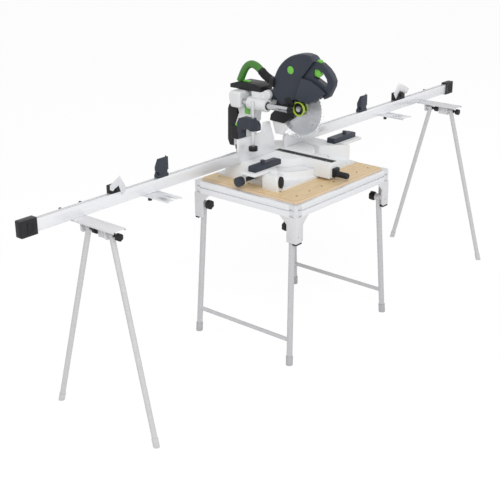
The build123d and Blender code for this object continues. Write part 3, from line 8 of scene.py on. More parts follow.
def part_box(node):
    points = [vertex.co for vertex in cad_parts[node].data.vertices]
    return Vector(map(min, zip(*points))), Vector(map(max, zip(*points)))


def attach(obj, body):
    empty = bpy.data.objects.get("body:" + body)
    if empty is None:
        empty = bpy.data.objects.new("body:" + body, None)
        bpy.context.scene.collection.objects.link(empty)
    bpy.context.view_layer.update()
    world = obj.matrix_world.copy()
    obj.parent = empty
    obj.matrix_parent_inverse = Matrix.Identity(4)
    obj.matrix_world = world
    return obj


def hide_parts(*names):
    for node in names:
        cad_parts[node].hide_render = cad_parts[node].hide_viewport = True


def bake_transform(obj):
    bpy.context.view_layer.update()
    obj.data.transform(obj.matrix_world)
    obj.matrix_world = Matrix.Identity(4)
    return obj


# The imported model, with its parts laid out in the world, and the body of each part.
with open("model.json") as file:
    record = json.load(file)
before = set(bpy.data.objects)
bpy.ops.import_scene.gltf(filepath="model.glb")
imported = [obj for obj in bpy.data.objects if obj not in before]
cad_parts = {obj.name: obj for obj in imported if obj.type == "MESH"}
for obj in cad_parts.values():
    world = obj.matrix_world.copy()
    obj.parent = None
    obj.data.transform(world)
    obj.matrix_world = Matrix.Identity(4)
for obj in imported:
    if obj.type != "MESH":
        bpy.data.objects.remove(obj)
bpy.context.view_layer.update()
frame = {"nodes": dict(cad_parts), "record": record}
nodes = frame["nodes"]
body_of = {node: body for body, members in frame["record"]["behaviour"]["bodies"].items()
           for node in members}

# The camera stands to the left of the stand and above it, where the photograph was taken.
# It looks down at the saw past the left trestle, through a longish lens.
camera_place = Vector((-3.8171, -3.0300, 2.2849))
camera_yaw, camera_pitch, camera_roll = 0.8528, 0.3758, -0.0117
camera_lens, camera_sensor, camera_reach = 73.67, 36, 60

ahead = Vector((math.sin(camera_yaw) * math.cos(camera_pitch),
                math.cos(camera_yaw) * math.cos(camera_pitch), -math.sin(camera_pitch)))
level = Vector((math.cos(camera_yaw), -math.sin(camera_yaw), 0))
upward = level.cross(ahead)
right = level * math.cos(camera_roll) + upward * math.sin(camera_roll)
over = upward * math.cos(camera_roll) - level * math.sin(camera_roll)
camera = bpy.data.objects.new("camera", bpy.data.cameras.new("camera"))
bpy.context.scene.collection.objects.link(camera)
camera.data.lens = camera_lens
camera.data.sensor_width = camera_sensor
camera.data.clip_end = camera_reach
camera_turn = Matrix((right, over, -ahead)).transposed().to_4x4()
camera.matrix_world = Matrix.Translation(camera_place) @ camera_turn
bpy.context.scene.camera = camera
bpy.context.scene.view_settings.view_transform = "Standard"


# A white studio floor that fades into a white surround, lit by one large soft lamp from
# the front left and a weaker one from the right. The floor keeps a faint shadow.
floor_half, floor_colour = 14.0, (0.94, 0.94, 0.94, 1)
floor_glow, glow_share = 1.04, 0.88
surround_light, surround_colour = 0.52, (1, 1, 1, 1)
key_size, key_power, key_place = 3.2, 195.0, Vector((-3.6, -3.2, 4.6))
fill_size, fill_power, fill_place = 4.0, 40.0, Vector((4.2, -2.4, 3.0))
lamp_aim = Vector((0, 0, 0.8))


def add_nodes(tree, *kinds):
    """New shader nodes of these kinds, in order."""
    return [tree.nodes.new("ShaderNode" + kind) for kind in kinds]


def seen_directly(tree):
    """1 where the camera, a reflection or a clear piece looks straight at the surface."""
    path, either, any_of = add_nodes(tree, "LightPath", "Math", "Math")
    for step in (either, any_of):
        step.operation = "MAXIMUM"
    tree.links.new(path.outputs["Is Camera Ray"], either.inputs[0])
    tree.links.new(path.outputs["Is Glossy Ray"], either.inputs[1])
    tree.links.new(either.outputs[0], any_of.inputs[0])
    tree.links.new(path.outputs["Is Transmission Ray"], any_of.inputs[1])
    return any_of.outputs[0]


def surround():
    """A world that lights the stand evenly and is plain white where it is seen itself."""
    world = bpy.data.worlds.new("surround")
    world.use_nodes = True
    tree = world.node_tree
    tree.nodes.clear()
    lit, shown, mix, out = add_nodes(tree, "Background", "Background", "MixShader", "OutputWorld")
    lit.inputs["Strength"].default_value = surround_light
    for light in (lit, shown):
        light.inputs["Color"].default_value = surround_colour
    tree.links.new(seen_directly(tree), mix.inputs[0])
    tree.links.new(lit.outputs[0], mix.inputs[1])
    tree.links.new(shown.outputs[0], mix.inputs[2])
    tree.links.new(mix.outputs[0], out.inputs[0])
    bpy.context.scene.world = world


def floor_finish():
    """Matt white that glows where it is seen, so that the floor melts into the surround."""
    finish = bpy.data.materials.new("studio_floor")
    finish.use_nodes = True
    tree = finish.node_tree
    tree.nodes.clear()
    matt, glow, mix, share, out = add_nodes(tree, "BsdfDiffuse", "Emission", "MixShader", "Math",
                                            "OutputMaterial")
    matt.inputs["Color"].default_value = floor_colour
    share.operation = "MULTIPLY"
    share.inputs[1].default_value = glow_share
    glow.inputs["Strength"].default_value = floor_glow
    tree.links.new(seen_directly(tree), share.inputs[0])
    tree.links.new(share.outputs[0], mix.inputs[0])
    tree.links.new(matt.outputs[0], mix.inputs[1])
    tree.links.new(glow.outputs[0], mix.inputs[2])
    tree.links.new(mix.outputs[0], out.inputs[0])
    return finish


def lamp(name, place, size, power):
    """A square lamp that points at the stand."""
    light = bpy.data.lights.new(name, "AREA")
    light.size = size
    light.energy = power
    holder = bpy.data.objects.new(name, light)
    bpy.context.scene.collection.objects.link(holder)
    holder.location = place
    holder.rotation_euler = (lamp_aim - place).to_track_quat("-Z", "Y").to_euler()


surround()
floor_mesh = bpy.data.meshes.new("floor")
floor_mesh.from_pydata([(-floor_half, -floor_half, 0), (floor_half, -floor_half, 0),
                        (floor_half, floor_half, 0), (-floor_half, floor_half, 0)],
                       [], [(0, 1, 2, 3)])
floor_mesh.materials.append(floor_finish())
floor = bpy.data.objects.new("floor", floor_mesh)
bpy.context.scene.collection.objects.link(floor)
lamp("key", key_place, key_size, key_power)
lamp("fill", fill_place, fill_size, fill_power)


# Frame profiles of the work table: extruded aluminium, satin anodised, with fine die
# lines along their length. Each is cut square and slides over the spigots of its corners.
profile_colour, profile_edge = (0.80, 0.81, 0.83), 0.0006
noise_detail, tone_span = 6.0, (0.3, 0.7)
least_roughness, relief_share = 0.02, 0.35
merge_reach, flat_angle, crease_angle = 2e-5, math.radians(1.0), math.radians(32)


def surface(name, colour, roughness, metallic=0.0, grain=(40, 40, 40), shade=0.08, spread=0.10,
            relief=0.0002, shine=0.5):
    """A finish whose colour, gloss and relief follow one noise, stretched by grain."""
    finish = bpy.data.materials.new(name)
    finish.use_nodes = True
    tree = finish.node_tree
    shader = tree.nodes["Principled BSDF"]
    place, stretch, noise, tone, gloss, bump = add_nodes(
        tree, "TexCoord", "Mapping", "TexNoise", "ValToRGB", "MapRange", "Bump")
    stretch.inputs["Scale"].default_value = grain
    noise.inputs["Scale"].default_value = 1.0
    noise.inputs["Detail"].default_value = noise_detail
    tree.links.new(place.outputs["Object"], stretch.inputs[0])
    tree.links.new(stretch.outputs[0], noise.inputs["Vector"])
    low, high = tone.color_ramp.elements
    low.position, high.position = tone_span
    low.color = (*[c * (1 - shade) for c in colour], 1)
    high.color = (*[min(1.0, c * (1 + shade)) for c in colour], 1)
    tree.links.new(noise.outputs["Fac"], tone.inputs[0])
    tree.links.new(tone.outputs[0], shader.inputs["Base Color"])
    gloss.inputs["To Min"].default_value = max(least_roughness, roughness - spread)
    gloss.inputs["To Max"].default_value = min(1.0, roughness + spread)
    tree.links.new(noise.outputs["Fac"], gloss.inputs["Value"])
    tree.links.new(gloss.outputs[0], shader.inputs["Roughness"])
    shader.inputs["Metallic"].default_value = metallic
    shader.inputs["Specular IOR Level"].default_value = shine
    bump.inputs["Strength"].default_value = relief_share
    bump.inputs["Distance"].default_value = relief
    tree.links.new(noise.outputs["Fac"], bump.inputs["Height"])
    tree.links.new(bump.outputs[0], shader.inputs["Normal"])
    return finish


def link(name, mesh):
    """A new object with this mesh, in the scene."""
    piece = bpy.data.objects.new(name, mesh)
    bpy.context.scene.collection.objects.link(piece)
    return piece


def baked(piece, name):
    """The piece with its modifiers made plain mesh."""
    graph = bpy.context.evaluated_depsgraph_get()
    mesh = bpy.data.meshes.new_from_object(piece.evaluated_get(graph))
    old = piece.data
    piece.modifiers.clear()
    piece.data = mesh
    mesh.name = name
    if old.users == 0:
        bpy.data.meshes.remove(old)
    return piece


def smooth(mesh):
    """Smooth shading, with the creases of the mesh kept sharp."""
    mesh.polygons.foreach_set("use_smooth", [True] * len(mesh.polygons))
    mesh.set_sharp_from_angle(angle=crease_angle)


def islands(work):
    """Groups of faces that hang together, one for each solid."""
    left = set(work.faces)
    while left:
        group, edge = [], [left.pop()]
        while edge:
            face = edge.pop()
            group.append(face)
            for side in face.edges:
                for other in side.link_faces:
                    if other in left:
                        left.remove(other)
                        edge.append(other)
        yield group


def skin(node, name, finishes, edge, pick=None, segments=2, paint=None):
    """A copy of a CAD node with rounded edges, which rides where the node does.
    pick chooses one of the finishes for a solid from its lowest and highest corner, and paint
    chooses one for a face from its corners."""
    source = nodes[node].data
    work = bmesh.new()
    points = [work.verts.new(v.co) for v in source.vertices]
    for face in source.polygons:
        work.faces.new([points[i] for i in face.vertices])
    bmesh.ops.remove_doubles(work, verts=work.verts, dist=merge_reach)
    bmesh.ops.dissolve_limit(work, angle_limit=flat_angle, verts=work.verts, edges=work.edges)
    if pick:
        for group in islands(work):
            corners = [v.co for face in group for v in face.verts]
            low = Vector([min(c[i] for c in corners) for i in range(3)])
            high = Vector([max(c[i] for c in corners) for i in range(3)])
            for face in group:
                face.material_index = pick(low, high)
    if paint:
        for face in work.faces:
            face.material_index = paint([v.co for v in face.verts])
    mesh = bpy.data.meshes.new(name)
    work.to_mesh(mesh)
    work.free()
    for finish in finishes:
        mesh.materials.append(finish)
    piece = link(name, mesh)
    if edge:
        bevel = piece.modifiers.new("edge", "BEVEL")
        bevel.width = edge
        bevel.segments = segments
        bevel.limit_method = "ANGLE"
        bevel.angle_limit = crease_angle
        baked(piece, name)
    smooth(piece.data)
    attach(piece, body_of[node])
    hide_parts(node)
    return piece


extruded_x = surface("anodised_along_x", profile_colour, roughness=0.38, metallic=0.55,
                     grain=(3, 420, 420), shade=0.05, spread=0.08)
skin("frame_profiles", "table_frame_profiles", [extruded_x], edge=profile_edge)


# Corner connectors of the table: die-cast aluminium blocks with a rounded outer corner and
# two slots in each face, painted dark inside as shade. Their spigots plug into the profiles.
cast_corner = surface("cast_corner", (0.70, 0.71, 0.73), roughness=0.42, metallic=0.5,
                      grain=(220, 220, 220), shade=0.06, spread=0.08, relief=0.0003)
# Painted shade: a dark grey for the insides of slots and grooves, where shade falls.
recess_shade = surface("recess_shade", (0.09, 0.09, 0.095), roughness=0.6, metallic=0.2,
                    grain=(300, 300, 300), shade=0.1, spread=0.1)
slot_length, slot_height = 0.023, 0.0035


def reach_of(points):
    """How far some points reach along X, Y and Z."""
    return [max(p[i] for p in points) - min(p[i] for p in points) for i in range(3)]


def connector_paint(points):
    """1 in a connector's slots, painted shade: faces that are short and low."""
    width, depth, height = reach_of(points)
    return int(max(width, depth) < slot_length and height < slot_height)


skin("corner_connectors", "table_corners", [cast_corner, recess_shade], edge=0.0012,
     paint=connector_paint)


# Table top: a multiply board with lacquered faces, drilled with a grid of dog holes whose walls
# are painted dark as shade, and chamfered round its edge, where the layers of veneer show as
# stripes.
veneer_colours = ((0.67, 0.49, 0.27), (0.78, 0.60, 0.36))
veneer_line = 0.0032
layer_colours = ((0.42, 0.28, 0.16), (0.70, 0.53, 0.35))
layer_wobble, lines_per_wave, level_limit = 0.4, 20, 0.9
board_grain, board_detail, board_fineness = (9, 90, 90), 8.0, 0.62
board_tone_span, board_roughness = (0.35, 0.62), 0.46
board_relief_share, board_relief = 0.25, 0.0002


def board_finish():
    """Lacquered wood: a grain on the level faces, stripes of veneer on the others."""
    finish = bpy.data.materials.new("lacquered_board")
    finish.use_nodes = True
    tree = finish.node_tree
    shader = tree.nodes["Principled BSDF"]
    place, stretch, grain, tone, layers, stripe, normal, side, blend, bump = add_nodes(
        tree, "TexCoord", "Mapping", "TexNoise", "ValToRGB", "TexWave", "ValToRGB", "NewGeometry",
        "SeparateXYZ", "Mix", "Bump")
    stretch.inputs["Scale"].default_value = board_grain
    grain.inputs["Scale"].default_value = 1.0
    grain.inputs["Detail"].default_value = board_detail
    grain.inputs["Roughness"].default_value = board_fineness
    tree.links.new(place.outputs["Object"], stretch.inputs[0])
    tree.links.new(stretch.outputs[0], grain.inputs["Vector"])
    dark, pale = tone.color_ramp.elements
    dark.position, pale.position = board_tone_span
    dark.color, pale.color = (*veneer_colours[0], 1), (*veneer_colours[1], 1)
    tree.links.new(grain.outputs["Fac"], tone.inputs[0])
    layers.bands_direction = "Z"
    layers.inputs["Scale"].default_value = 1 / (lines_per_wave * veneer_line)
    layers.inputs["Distortion"].default_value = layer_wobble
    tree.links.new(place.outputs["Object"], layers.inputs["Vector"])
    low, high = stripe.color_ramp.elements
    low.color, high.color = (*layer_colours[0], 1), (*layer_colours[1], 1)
    tree.links.new(layers.outputs["Fac"], stripe.inputs[0])
    tree.links.new(normal.outputs["Normal"], side.inputs[0])
    flat = tree.nodes.new("ShaderNodeMath")
    flat.operation = "GREATER_THAN"
    flat.inputs[1].default_value = level_limit
    tree.links.new(side.outputs["Z"], flat.inputs[0])
    blend.data_type = "RGBA"
    tree.links.new(flat.outputs[0], blend.inputs[0])
    tree.links.new(stripe.outputs[0], blend.inputs[6])
    tree.links.new(tone.outputs[0], blend.inputs[7])
    tree.links.new(blend.outputs[2], shader.inputs["Base Color"])
    shader.inputs["Roughness"].default_value = board_roughness
    bump.inputs["Strength"].default_value = board_relief_share
    bump.inputs["Distance"].default_value = board_relief
    tree.links.new(grain.outputs["Fac"], bump.inputs["Height"])
    tree.links.new(bump.outputs[0], shader.inputs["Normal"])
    return finish


# Painted shade: a near-black brown on the walls of the dog holes, where shade falls.
hole_shade = surface("hole_shade", (0.05, 0.038, 0.028), roughness=0.8, metallic=0.0,
                    grain=(300, 300, 60), shade=0.1, spread=0.1)
hole_width, hole_depth = 0.011, 0.012


def board_paint(points):
    """1 on the walls of the dog holes, painted shade: faces that are narrow across and tall."""
    width, depth, height = reach_of(points)
    return int(max(width, depth) < hole_width and height > hole_depth)


skin("work_top", "table_board", [board_finish(), hole_shade], edge=0.0,
     paint=board_paint)


# Leg brackets: folded sheet, powder coated in pale grey, screwed under each corner. A black
# moulded plug closes the lower end of each.
powder_grey = surface("powder_coat_grey", (0.70, 0.70, 0.72), roughness=0.45, metallic=0.0,
                      grain=(500, 500, 500), shade=0.03, spread=0.08, relief=0.0002)
moulded_black = surface("moulded_black", (0.012, 0.012, 0.014), roughness=0.45, metallic=0.0,
                        grain=(900, 900, 900), shade=0.18, spread=0.12, relief=0.0002, shine=0.28)
skin("leg_brackets", "corner_brackets", [powder_grey], edge=0.0008)
skin("bracket_plugs", "corner_bracket_plugs", [moulded_black], edge=0.0010)


# Table legs: two welded frames of round tube in grey lacquer. They swing up under the table
# on pins through the brackets, and stand on rubber feet.
leg_grey = surface("leg_lacquer", (0.56, 0.56, 0.58), roughness=0.36, metallic=0.25,
                   grain=(30, 30, 260), shade=0.05, spread=0.07)
rubber_grey = surface("foot_rubber", (0.47, 0.47, 0.49), roughness=0.7, metallic=0.0,
                      grain=(700, 700, 700), shade=0.08, spread=0.08, relief=0.0003)
for side in ("left", "right"):
    skin(f"{side}_leg_frame", f"{side}_leg_tubes", [leg_grey], edge=0.0006)
    skin(f"{side}_leg_feet", f"{side}_rubber_feet", [rubber_grey], edge=0.0012)


# Knobs: lobed and moulded in black, with rims rounded for the hand. One locks each leg of the
# table at its bracket, and one each trestle leg at its head.
for side in ("left", "right"):
    for end in ("front", "rear"):
        skin(f"leg_knob_{side}_{end}", f"lobed_knob_{side}_{end}", [moulded_black], edge=0.0022,
             segments=3)
        skin(f"trestle_knob_{side}_{end}", f"trestle_lobed_knob_{side}_{end}", [moulded_black],
             edge=0.0018, segments=3)


# Rails: long aluminium extrusions with two shallow grooves in the top, painted dark inside as
# shade, and a moulded cap in each outer end. Couplers carry their inner ends, and fine plain
# marks run along the front of each top.
mark_pitch, mark_wide, mark_long, mark_thick = 0.010, 0.0008, 0.0042, 0.00008
mark_inset, mark_margin = 0.0012, 0.01
rail_finish = surface("anodised_rail", (0.82, 0.83, 0.85), roughness=0.34, metallic=0.5,
                      grain=(2, 300, 300), shade=0.05, spread=0.07)
rail_top, groove_least, groove_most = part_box("left_rail")[1].z, 0.0008, 0.0026


def rail_paint(points):
    """1 inside the grooves along a rail's top, which take painted shade."""
    return int(groove_least < rail_top - min(p.z for p in points) < groove_most)


mark_finish = surface("mark_ink", (0.05, 0.05, 0.055), roughness=0.5, metallic=0.0,
                      grain=(800, 800, 800), shade=0.1)


def group_inputs(tree, *entries):
    """Named inputs of a Geometry Nodes tree; each entry is a name and a kind."""
    sockets = {}
    for name, kind in entries:
        socket = tree.interface.new_socket(name=name, in_out="INPUT",
                                           socket_type="NodeSocket" + kind)
        sockets[name] = socket.identifier
    return sockets


def row_tree(name, finish):
    """A tree that sets copies of the piece's own mesh in a straight row."""
    tree = bpy.data.node_groups.new(name, "GeometryNodeTree")
    tree.interface.new_socket(name="Geometry", in_out="INPUT", socket_type="NodeSocketGeometry")
    names = group_inputs(tree, ("Count", "Int"), ("Step", "Vector"), ("Start", "Vector"))
    tree.interface.new_socket(name="Geometry", in_out="OUTPUT", socket_type="NodeSocketGeometry")
    make = tree.nodes.new
    source, out = make("NodeGroupInput"), make("NodeGroupOutput")
    line, place = make("GeometryNodeMeshLine"), make("GeometryNodeInstanceOnPoints")
    real, paint = make("GeometryNodeRealizeInstances"), make("GeometryNodeSetMaterial")
    tree.links.new(source.outputs["Count"], line.inputs["Count"])
    tree.links.new(source.outputs["Start"], line.inputs["Start Location"])
    tree.links.new(source.outputs["Step"], line.inputs["Offset"])
    tree.links.new(line.outputs[0], place.inputs["Points"])
    tree.links.new(source.outputs["Geometry"], place.inputs["Instance"])
    tree.links.new(place.outputs[0], real.inputs[0])
    tree.links.new(real.outputs[0], paint.inputs["Geometry"])
    paint.inputs["Material"].default_value = finish
    tree.links.new(paint.outputs[0], out.inputs[0])
    return tree, names


def row_of(name, mesh, finish, count, start, step, body):
    """Copies of a mesh in a row, as one piece on a body."""
    tree, names = row_tree(name, finish)
    piece = link(name, mesh)
    row = piece.modifiers.new("row", "NODES")
    row.node_group = tree
    row[names["Count"]] = count
    row[names["Start"]] = start
    row[names["Step"]] = step
    baked(piece, name)
    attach(piece, body)
    return piece


def block_mesh(name, wide, deep, high):
    """A box centred on its middle, from real sizes."""
    work = bmesh.new()
    bmesh.ops.create_cube(work, size=1.0, matrix=Matrix.Diagonal((wide, deep, high, 1)))
    mesh = bpy.data.meshes.new(name)
    work.to_mesh(mesh)
    work.free()
    return mesh


for side in ("left", "right"):
    # The grooves take the painted shade.
    skin(f"{side}_rail", f"{side}_rail_extrusion", [rail_finish, recess_shade], edge=0.0005,
         paint=rail_paint)
    low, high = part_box(f"{side}_rail")
    count = int((high.x - low.x - 2 * mark_margin) / mark_pitch)
    start = (low.x + mark_margin, low.y + mark_inset + mark_long / 2, high.z + mark_thick / 2)
    mark = block_mesh("rail_mark", mark_wide, mark_long, mark_thick)
    row_of(f"{side}_rail_marks", mark, mark_finish, count=count, start=start,
           step=(mark_pitch, 0, 0), body="stand")
charcoal_cap = surface("charcoal_cap", (0.014, 0.014, 0.017), roughness=0.45, metallic=0.0,
                       grain=(800, 800, 800), shade=0.2, spread=0.1, relief=0.0002, shine=0.3)
skin("rail_end_caps", "rail_caps", [charcoal_cap], edge=0.0010)
skin("rail_couplers", "rail_coupler_bars", [cast_corner], edge=0.0010)


# Trestles: a folded sheet head on two splayed tube legs with black end caps. The legs hang
# on pins through the head's cheeks, and a knob clamps each.
trestle_grey = surface("trestle_lacquer", (0.60, 0.60, 0.61), roughness=0.34, metallic=0.3,
                       grain=(30, 30, 240), shade=0.05, spread=0.07)
skin("trestle_heads", "trestle_head_sheets", [powder_grey], edge=0.0008)
cap_top = 0.05
for side in ("left", "right"):
    for end in ("front", "rear"):
        skin(f"trestle_leg_{side}_{end}", f"trestle_tube_{side}_{end}",
             [trestle_grey, moulded_black], edge=0.0006,
             pick=lambda low, high: int(high.z < cap_top))


# Flip stops, angle stops and side supports, which slide along the rails. The flip stops are
# moulded, the others are bent steel sheet with moulded clamps and knobs.
stop_slate = surface("stop_slate", (0.032, 0.038, 0.054), roughness=0.46, metallic=0.0,
                     grain=(700, 700, 700), shade=0.15, spread=0.1, relief=0.0002, shine=0.35)
bright_sheet = surface("bright_sheet", (0.72, 0.73, 0.75), roughness=0.3, metallic=0.75,
                       grain=(300, 14, 14), shade=0.05, spread=0.08)
sheet_depth, foot_depth = 0.02, 0.05
for side in ("left", "right"):
    skin(f"{side}_stop_carrier", f"{side}_stop_base", [stop_slate], edge=0.0008)
    skin(f"{side}_stop_flap", f"{side}_stop_plate", [stop_slate], edge=0.0012)
    skin(f"{side}_angle_stop", f"{side}_angle_sheet", [bright_sheet, moulded_black], edge=0.0005,
         pick=lambda low, high: int(high.y - low.y > sheet_depth))
    skin(f"{side}_side_support", f"{side}_support_sheet", [bright_sheet, moulded_black],
         edge=0.0004,
         pick=lambda low, high: int(high.y - low.y < foot_depth))


# Saw base and fence: light metal castings in a pale paint, with fine grain from the mould.
# Screws hold the base to the board, and a scale of plain marks runs round its front.
millimetres, drawing_shift = 1000, Vector((-67.5, -39.2229, 0.0))
saw_middle, arc_steps = 30.0, 256
scale_radius, scale_count, scale_mark = 0.241, 61, (0.008, 0.0002, 0.0008)
turn_axis_y, base_rim_z, scale_lift = 109.0, 848.0, Vector((0, 0, 0.0001))
scale_start, scale_sweep = math.radians(-137), math.radians(94)


def at(x, y, z):
    """A place in metres, given in the drawing's millimetres from the middle of the table.
    The drawing stands off the middle of the whole model, so a shift goes with it."""
    return (Vector((x, y, z)) + drawing_shift) / millimetres


def ring_tree(name, finish):
    """A tree that sets copies of the piece's own mesh on an arc, each turned with the arc."""
    tree = bpy.data.node_groups.new(name, "GeometryNodeTree")
    tree.interface.new_socket(name="Geometry", in_out="INPUT", socket_type="NodeSocketGeometry")
    names = group_inputs(tree, ("Count", "Int"), ("Radius", "Float"), ("Start", "Float"),
                         ("Sweep", "Float"))
    tree.interface.new_socket(name="Geometry", in_out="OUTPUT", socket_type="NodeSocketGeometry")
    make = tree.nodes.new
    source, out, arc = make("NodeGroupInput"), make("NodeGroupOutput"), make("GeometryNodeCurveArc")
    points, place = make("GeometryNodeCurveToPoints"), make("GeometryNodeInstanceOnPoints")
    real, paint = make("GeometryNodeRealizeInstances"), make("GeometryNodeSetMaterial")
    arc.inputs["Resolution"].default_value = arc_steps
    for entry, target in (("Radius", "Radius"), ("Start", "Start Angle"), ("Sweep", "Sweep Angle")):
        tree.links.new(source.outputs[entry], arc.inputs[target])
    tree.links.new(arc.outputs[0], points.inputs["Curve"])
    tree.links.new(source.outputs["Count"], points.inputs["Count"])
    tree.links.new(points.outputs["Points"], place.inputs["Points"])
    tree.links.new(points.outputs["Rotation"], place.inputs["Rotation"])
    tree.links.new(source.outputs["Geometry"], place.inputs["Instance"])
    tree.links.new(place.outputs[0], real.inputs[0])
    tree.links.new(real.outputs[0], paint.inputs["Geometry"])
    paint.inputs["Material"].default_value = finish
    tree.links.new(paint.outputs[0], out.inputs[0])
    return tree, names


def ring_of(name, mesh, finish, count, radius, start, sweep, frame_of, body):
    """Copies of a mesh on an arc; frame_of carries the arc's own plane to its place. In each
    copy Z runs along the arc and Y or X away from its middle."""
    tree, names = ring_tree(name, finish)
    piece = link(name, mesh)
    ring = piece.modifiers.new("ring", "NODES")
    ring.node_group = tree
    for entry, value in (("Count", count), ("Radius", radius), ("Start", start), ("Sweep", sweep)):
        ring[names[entry]] = value
    baked(piece, name)
    piece.data.transform(frame_of)
    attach(piece, body)
    return piece


cast_white = surface("cast_white", (0.79, 0.80, 0.81), roughness=0.42, metallic=0.0,
                     grain=(260, 260, 260), shade=0.03, spread=0.10, relief=0.0003)
cast_face = surface("machined_face", (0.82, 0.83, 0.85), roughness=0.32, metallic=0.2,
                    grain=(14, 320, 14), shade=0.04, spread=0.08)
skin("saw_base", "base_casting", [cast_white], edge=0.0014)
skin("saw_fence", "fence_castings", [cast_face], edge=0.0010)
scale_place = Matrix.Translation(at(saw_middle, turn_axis_y, base_rim_z) + scale_lift)
ring_of("base_scale_marks", block_mesh("scale_mark", *scale_mark), mark_finish, count=scale_count,
        radius=scale_radius, start=scale_start, sweep=scale_sweep, frame_of=scale_place,
        body="stand")


# Pins, screws and small fixed knobs: zinc-plated steel, but the knobs are moulded black.
# The knobs are told from the rest by where they stand.
pin_steel = surface("zinc_plated", (0.66, 0.67, 0.69), roughness=0.32, metallic=0.85,
                    grain=(300, 300, 300), shade=0.06, spread=0.1)
wing_line, front_line, board_line = at(0, 0, 893.0).z, at(0, -139.0, 0).y, at(0, 0, 800.0).z


def fastener_finish(low, high):
    """1 for the knobs: those above the wings and the oval one in front of the foot block."""
    return int(low.z > wing_line or (high.y < front_line and low.z > board_line))


skin("fasteners", "pins_and_screws", [pin_steel, moulded_black], edge=0.0006,
     pick=fastener_finish)


# Hold-down clamp: a moulded slate arch on a block behind the fence, and a screwed spindle
# of bright steel with a black pad that swivels under it.
slate_plastic = surface("slate_plastic", (0.026, 0.032, 0.047), roughness=0.42, metallic=0.0,
                        grain=(900, 900, 900), shade=0.10, spread=0.10, relief=0.0002, shine=0.35)
pad_width = 0.03
skin("clamp_arm", "clamp_arch", [slate_plastic], edge=0.0020, segments=3)
skin("clamp_spindle", "clamp_screw", [pin_steel, moulded_black], edge=0.0008,
     pick=lambda low, high: int(high.x - low.x > pad_width))


# Turntable: a machined disc with its arm, two black kerf boards, and the lever that locks
# the mitre angle under the arm.
skin("turntable", "turntable_casting", [cast_white], edge=0.0012)
skin("kerf_insert", "kerf_boards", [moulded_black], edge=0.0005)
skin("mitre_lever", "mitre_lock", [moulded_black], edge=0.0018, segments=3)


def turned(name, profile, finish, place, towards, body, steps=40):
    """A turned piece: profile is (radius, height) from its foot to its middle on top, or a
    ring's section where its first point comes again at the end."""
    closed = profile[0] == profile[-1]
    work = bmesh.new()
    rings = []
    for radius, height in profile:
        if radius == 0:
            rings.append([work.verts.new((0, 0, height / millimetres))])
            continue
        turn = [2 * math.pi * i / steps for i in range(steps)]
        rings.append([work.verts.new((radius * math.cos(a) / millimetres,
                                      radius * math.sin(a) / millimetres, height / millimetres))
                      for a in turn])
    if closed:
        rings[-1] = rings[0]
    for lower, upper in zip(rings, rings[1:]):
        for i in range(steps):
            j = (i + 1) % steps
            if len(upper) == 1:
                work.faces.new((lower[i], lower[j], upper[0]))
            else:
                work.faces.new((lower[i], lower[j], upper[j], upper[i]))
    if closed:
        bmesh.ops.delete(work, geom=[v for v in work.verts if not v.link_faces], context="VERTS")
    else:
        work.faces.new(list(reversed(rings[0])))
    bmesh.ops.recalc_face_normals(work, faces=work.faces)
    mesh = bpy.data.meshes.new(name)
    work.to_mesh(mesh)
    work.free()
    facing = Vector(towards).to_track_quat("Z", "Y").to_matrix().to_4x4()
    mesh.transform(Matrix.Translation(place) @ facing)
    mesh.materials.append(finish)
    piece = link(name, mesh)
    smooth(mesh)
    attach(piece, body)
    return piece


board_screw = [(2.6, 0.0), (2.6, 0.25), (2.2, 0.4), (1.3, 0.4), (1.3, 0.1), (0, 0.1)]
board_screw_rows, board_screw_side, saw_table_z = (-190.0, -95.0, 0.0, 100.0), 12.0, 889.0
for place, y in enumerate(board_screw_rows):
    for side in (-1, 1):
        turned(f"kerf_screw_{place}_{'left' if side < 0 else 'right'}", board_screw, pin_steel,
               place=at(saw_middle + side * board_screw_side, y, saw_table_z), towards=(0, 0, 1),
               body="turntable", steps=20)


# Sliding extensions of the base: cast plates that draw out to the left and the right, each
# with a moulded block and a knob on top.
for side in ("left", "right"):
    skin(f"{side}_extension", f"{side}_extension_plate", [cast_white], edge=0.0012)
    skin(f"{side}_clamp_block", f"{side}_extension_block", [slate_plastic], edge=0.0016,
         segments=3)


# Column: a painted casting that tilts behind the turntable, with a black rear cover and
# carrying loop. Two chromed rods guide the head, and a black knob with a green ring locks it.
chrome = surface("chromed_rod", (0.50, 0.51, 0.53), roughness=0.16, metallic=1.0,
                 grain=(500, 8, 500), shade=0.02, spread=0.05, relief=0.0001)
accent_green = surface("accent_green", (0.16, 0.52, 0.06), roughness=0.36, metallic=0.0,
                       grain=(700, 700, 700), shade=0.06, spread=0.08)
ring_green = surface("ring_green", (0.42, 0.60, 0.06), roughness=0.4, metallic=0.0,
                     grain=(700, 700, 700), shade=0.06, spread=0.08)
skin("bevel_column", "column_casting", [cast_white], edge=0.0022, segments=3)
skin("column_covers", "rear_cover", [moulded_black], edge=0.0020, segments=3)
skin("guide_rods", "chromed_rods", [chrome], edge=0.0006)
bevel_grip_radius = 0.0165


def bevel_knob_finish(points):
    """1 on the wide ring, which stands further from the knob's middle than its grip."""
    middle = (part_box("bevel_knob")[0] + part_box("bevel_knob")[1]) / 2
    return int(max(math.hypot(p.x - middle.x, p.z - middle.z) for p in points) > bevel_grip_radius)


skin("bevel_knob", "tilt_knob", [moulded_black, ring_green], edge=0.0010,
     paint=bevel_knob_finish)


# Carriage: a casting with two sleeves on the rods, and a black cover over the dust port,
# which slides with it.
skin("carriage", "carriage_casting", [cast_white], edge=0.0022, segments=3)
skin("dust_port_cover", "dust_port", [moulded_black], edge=0.0022, segments=3)


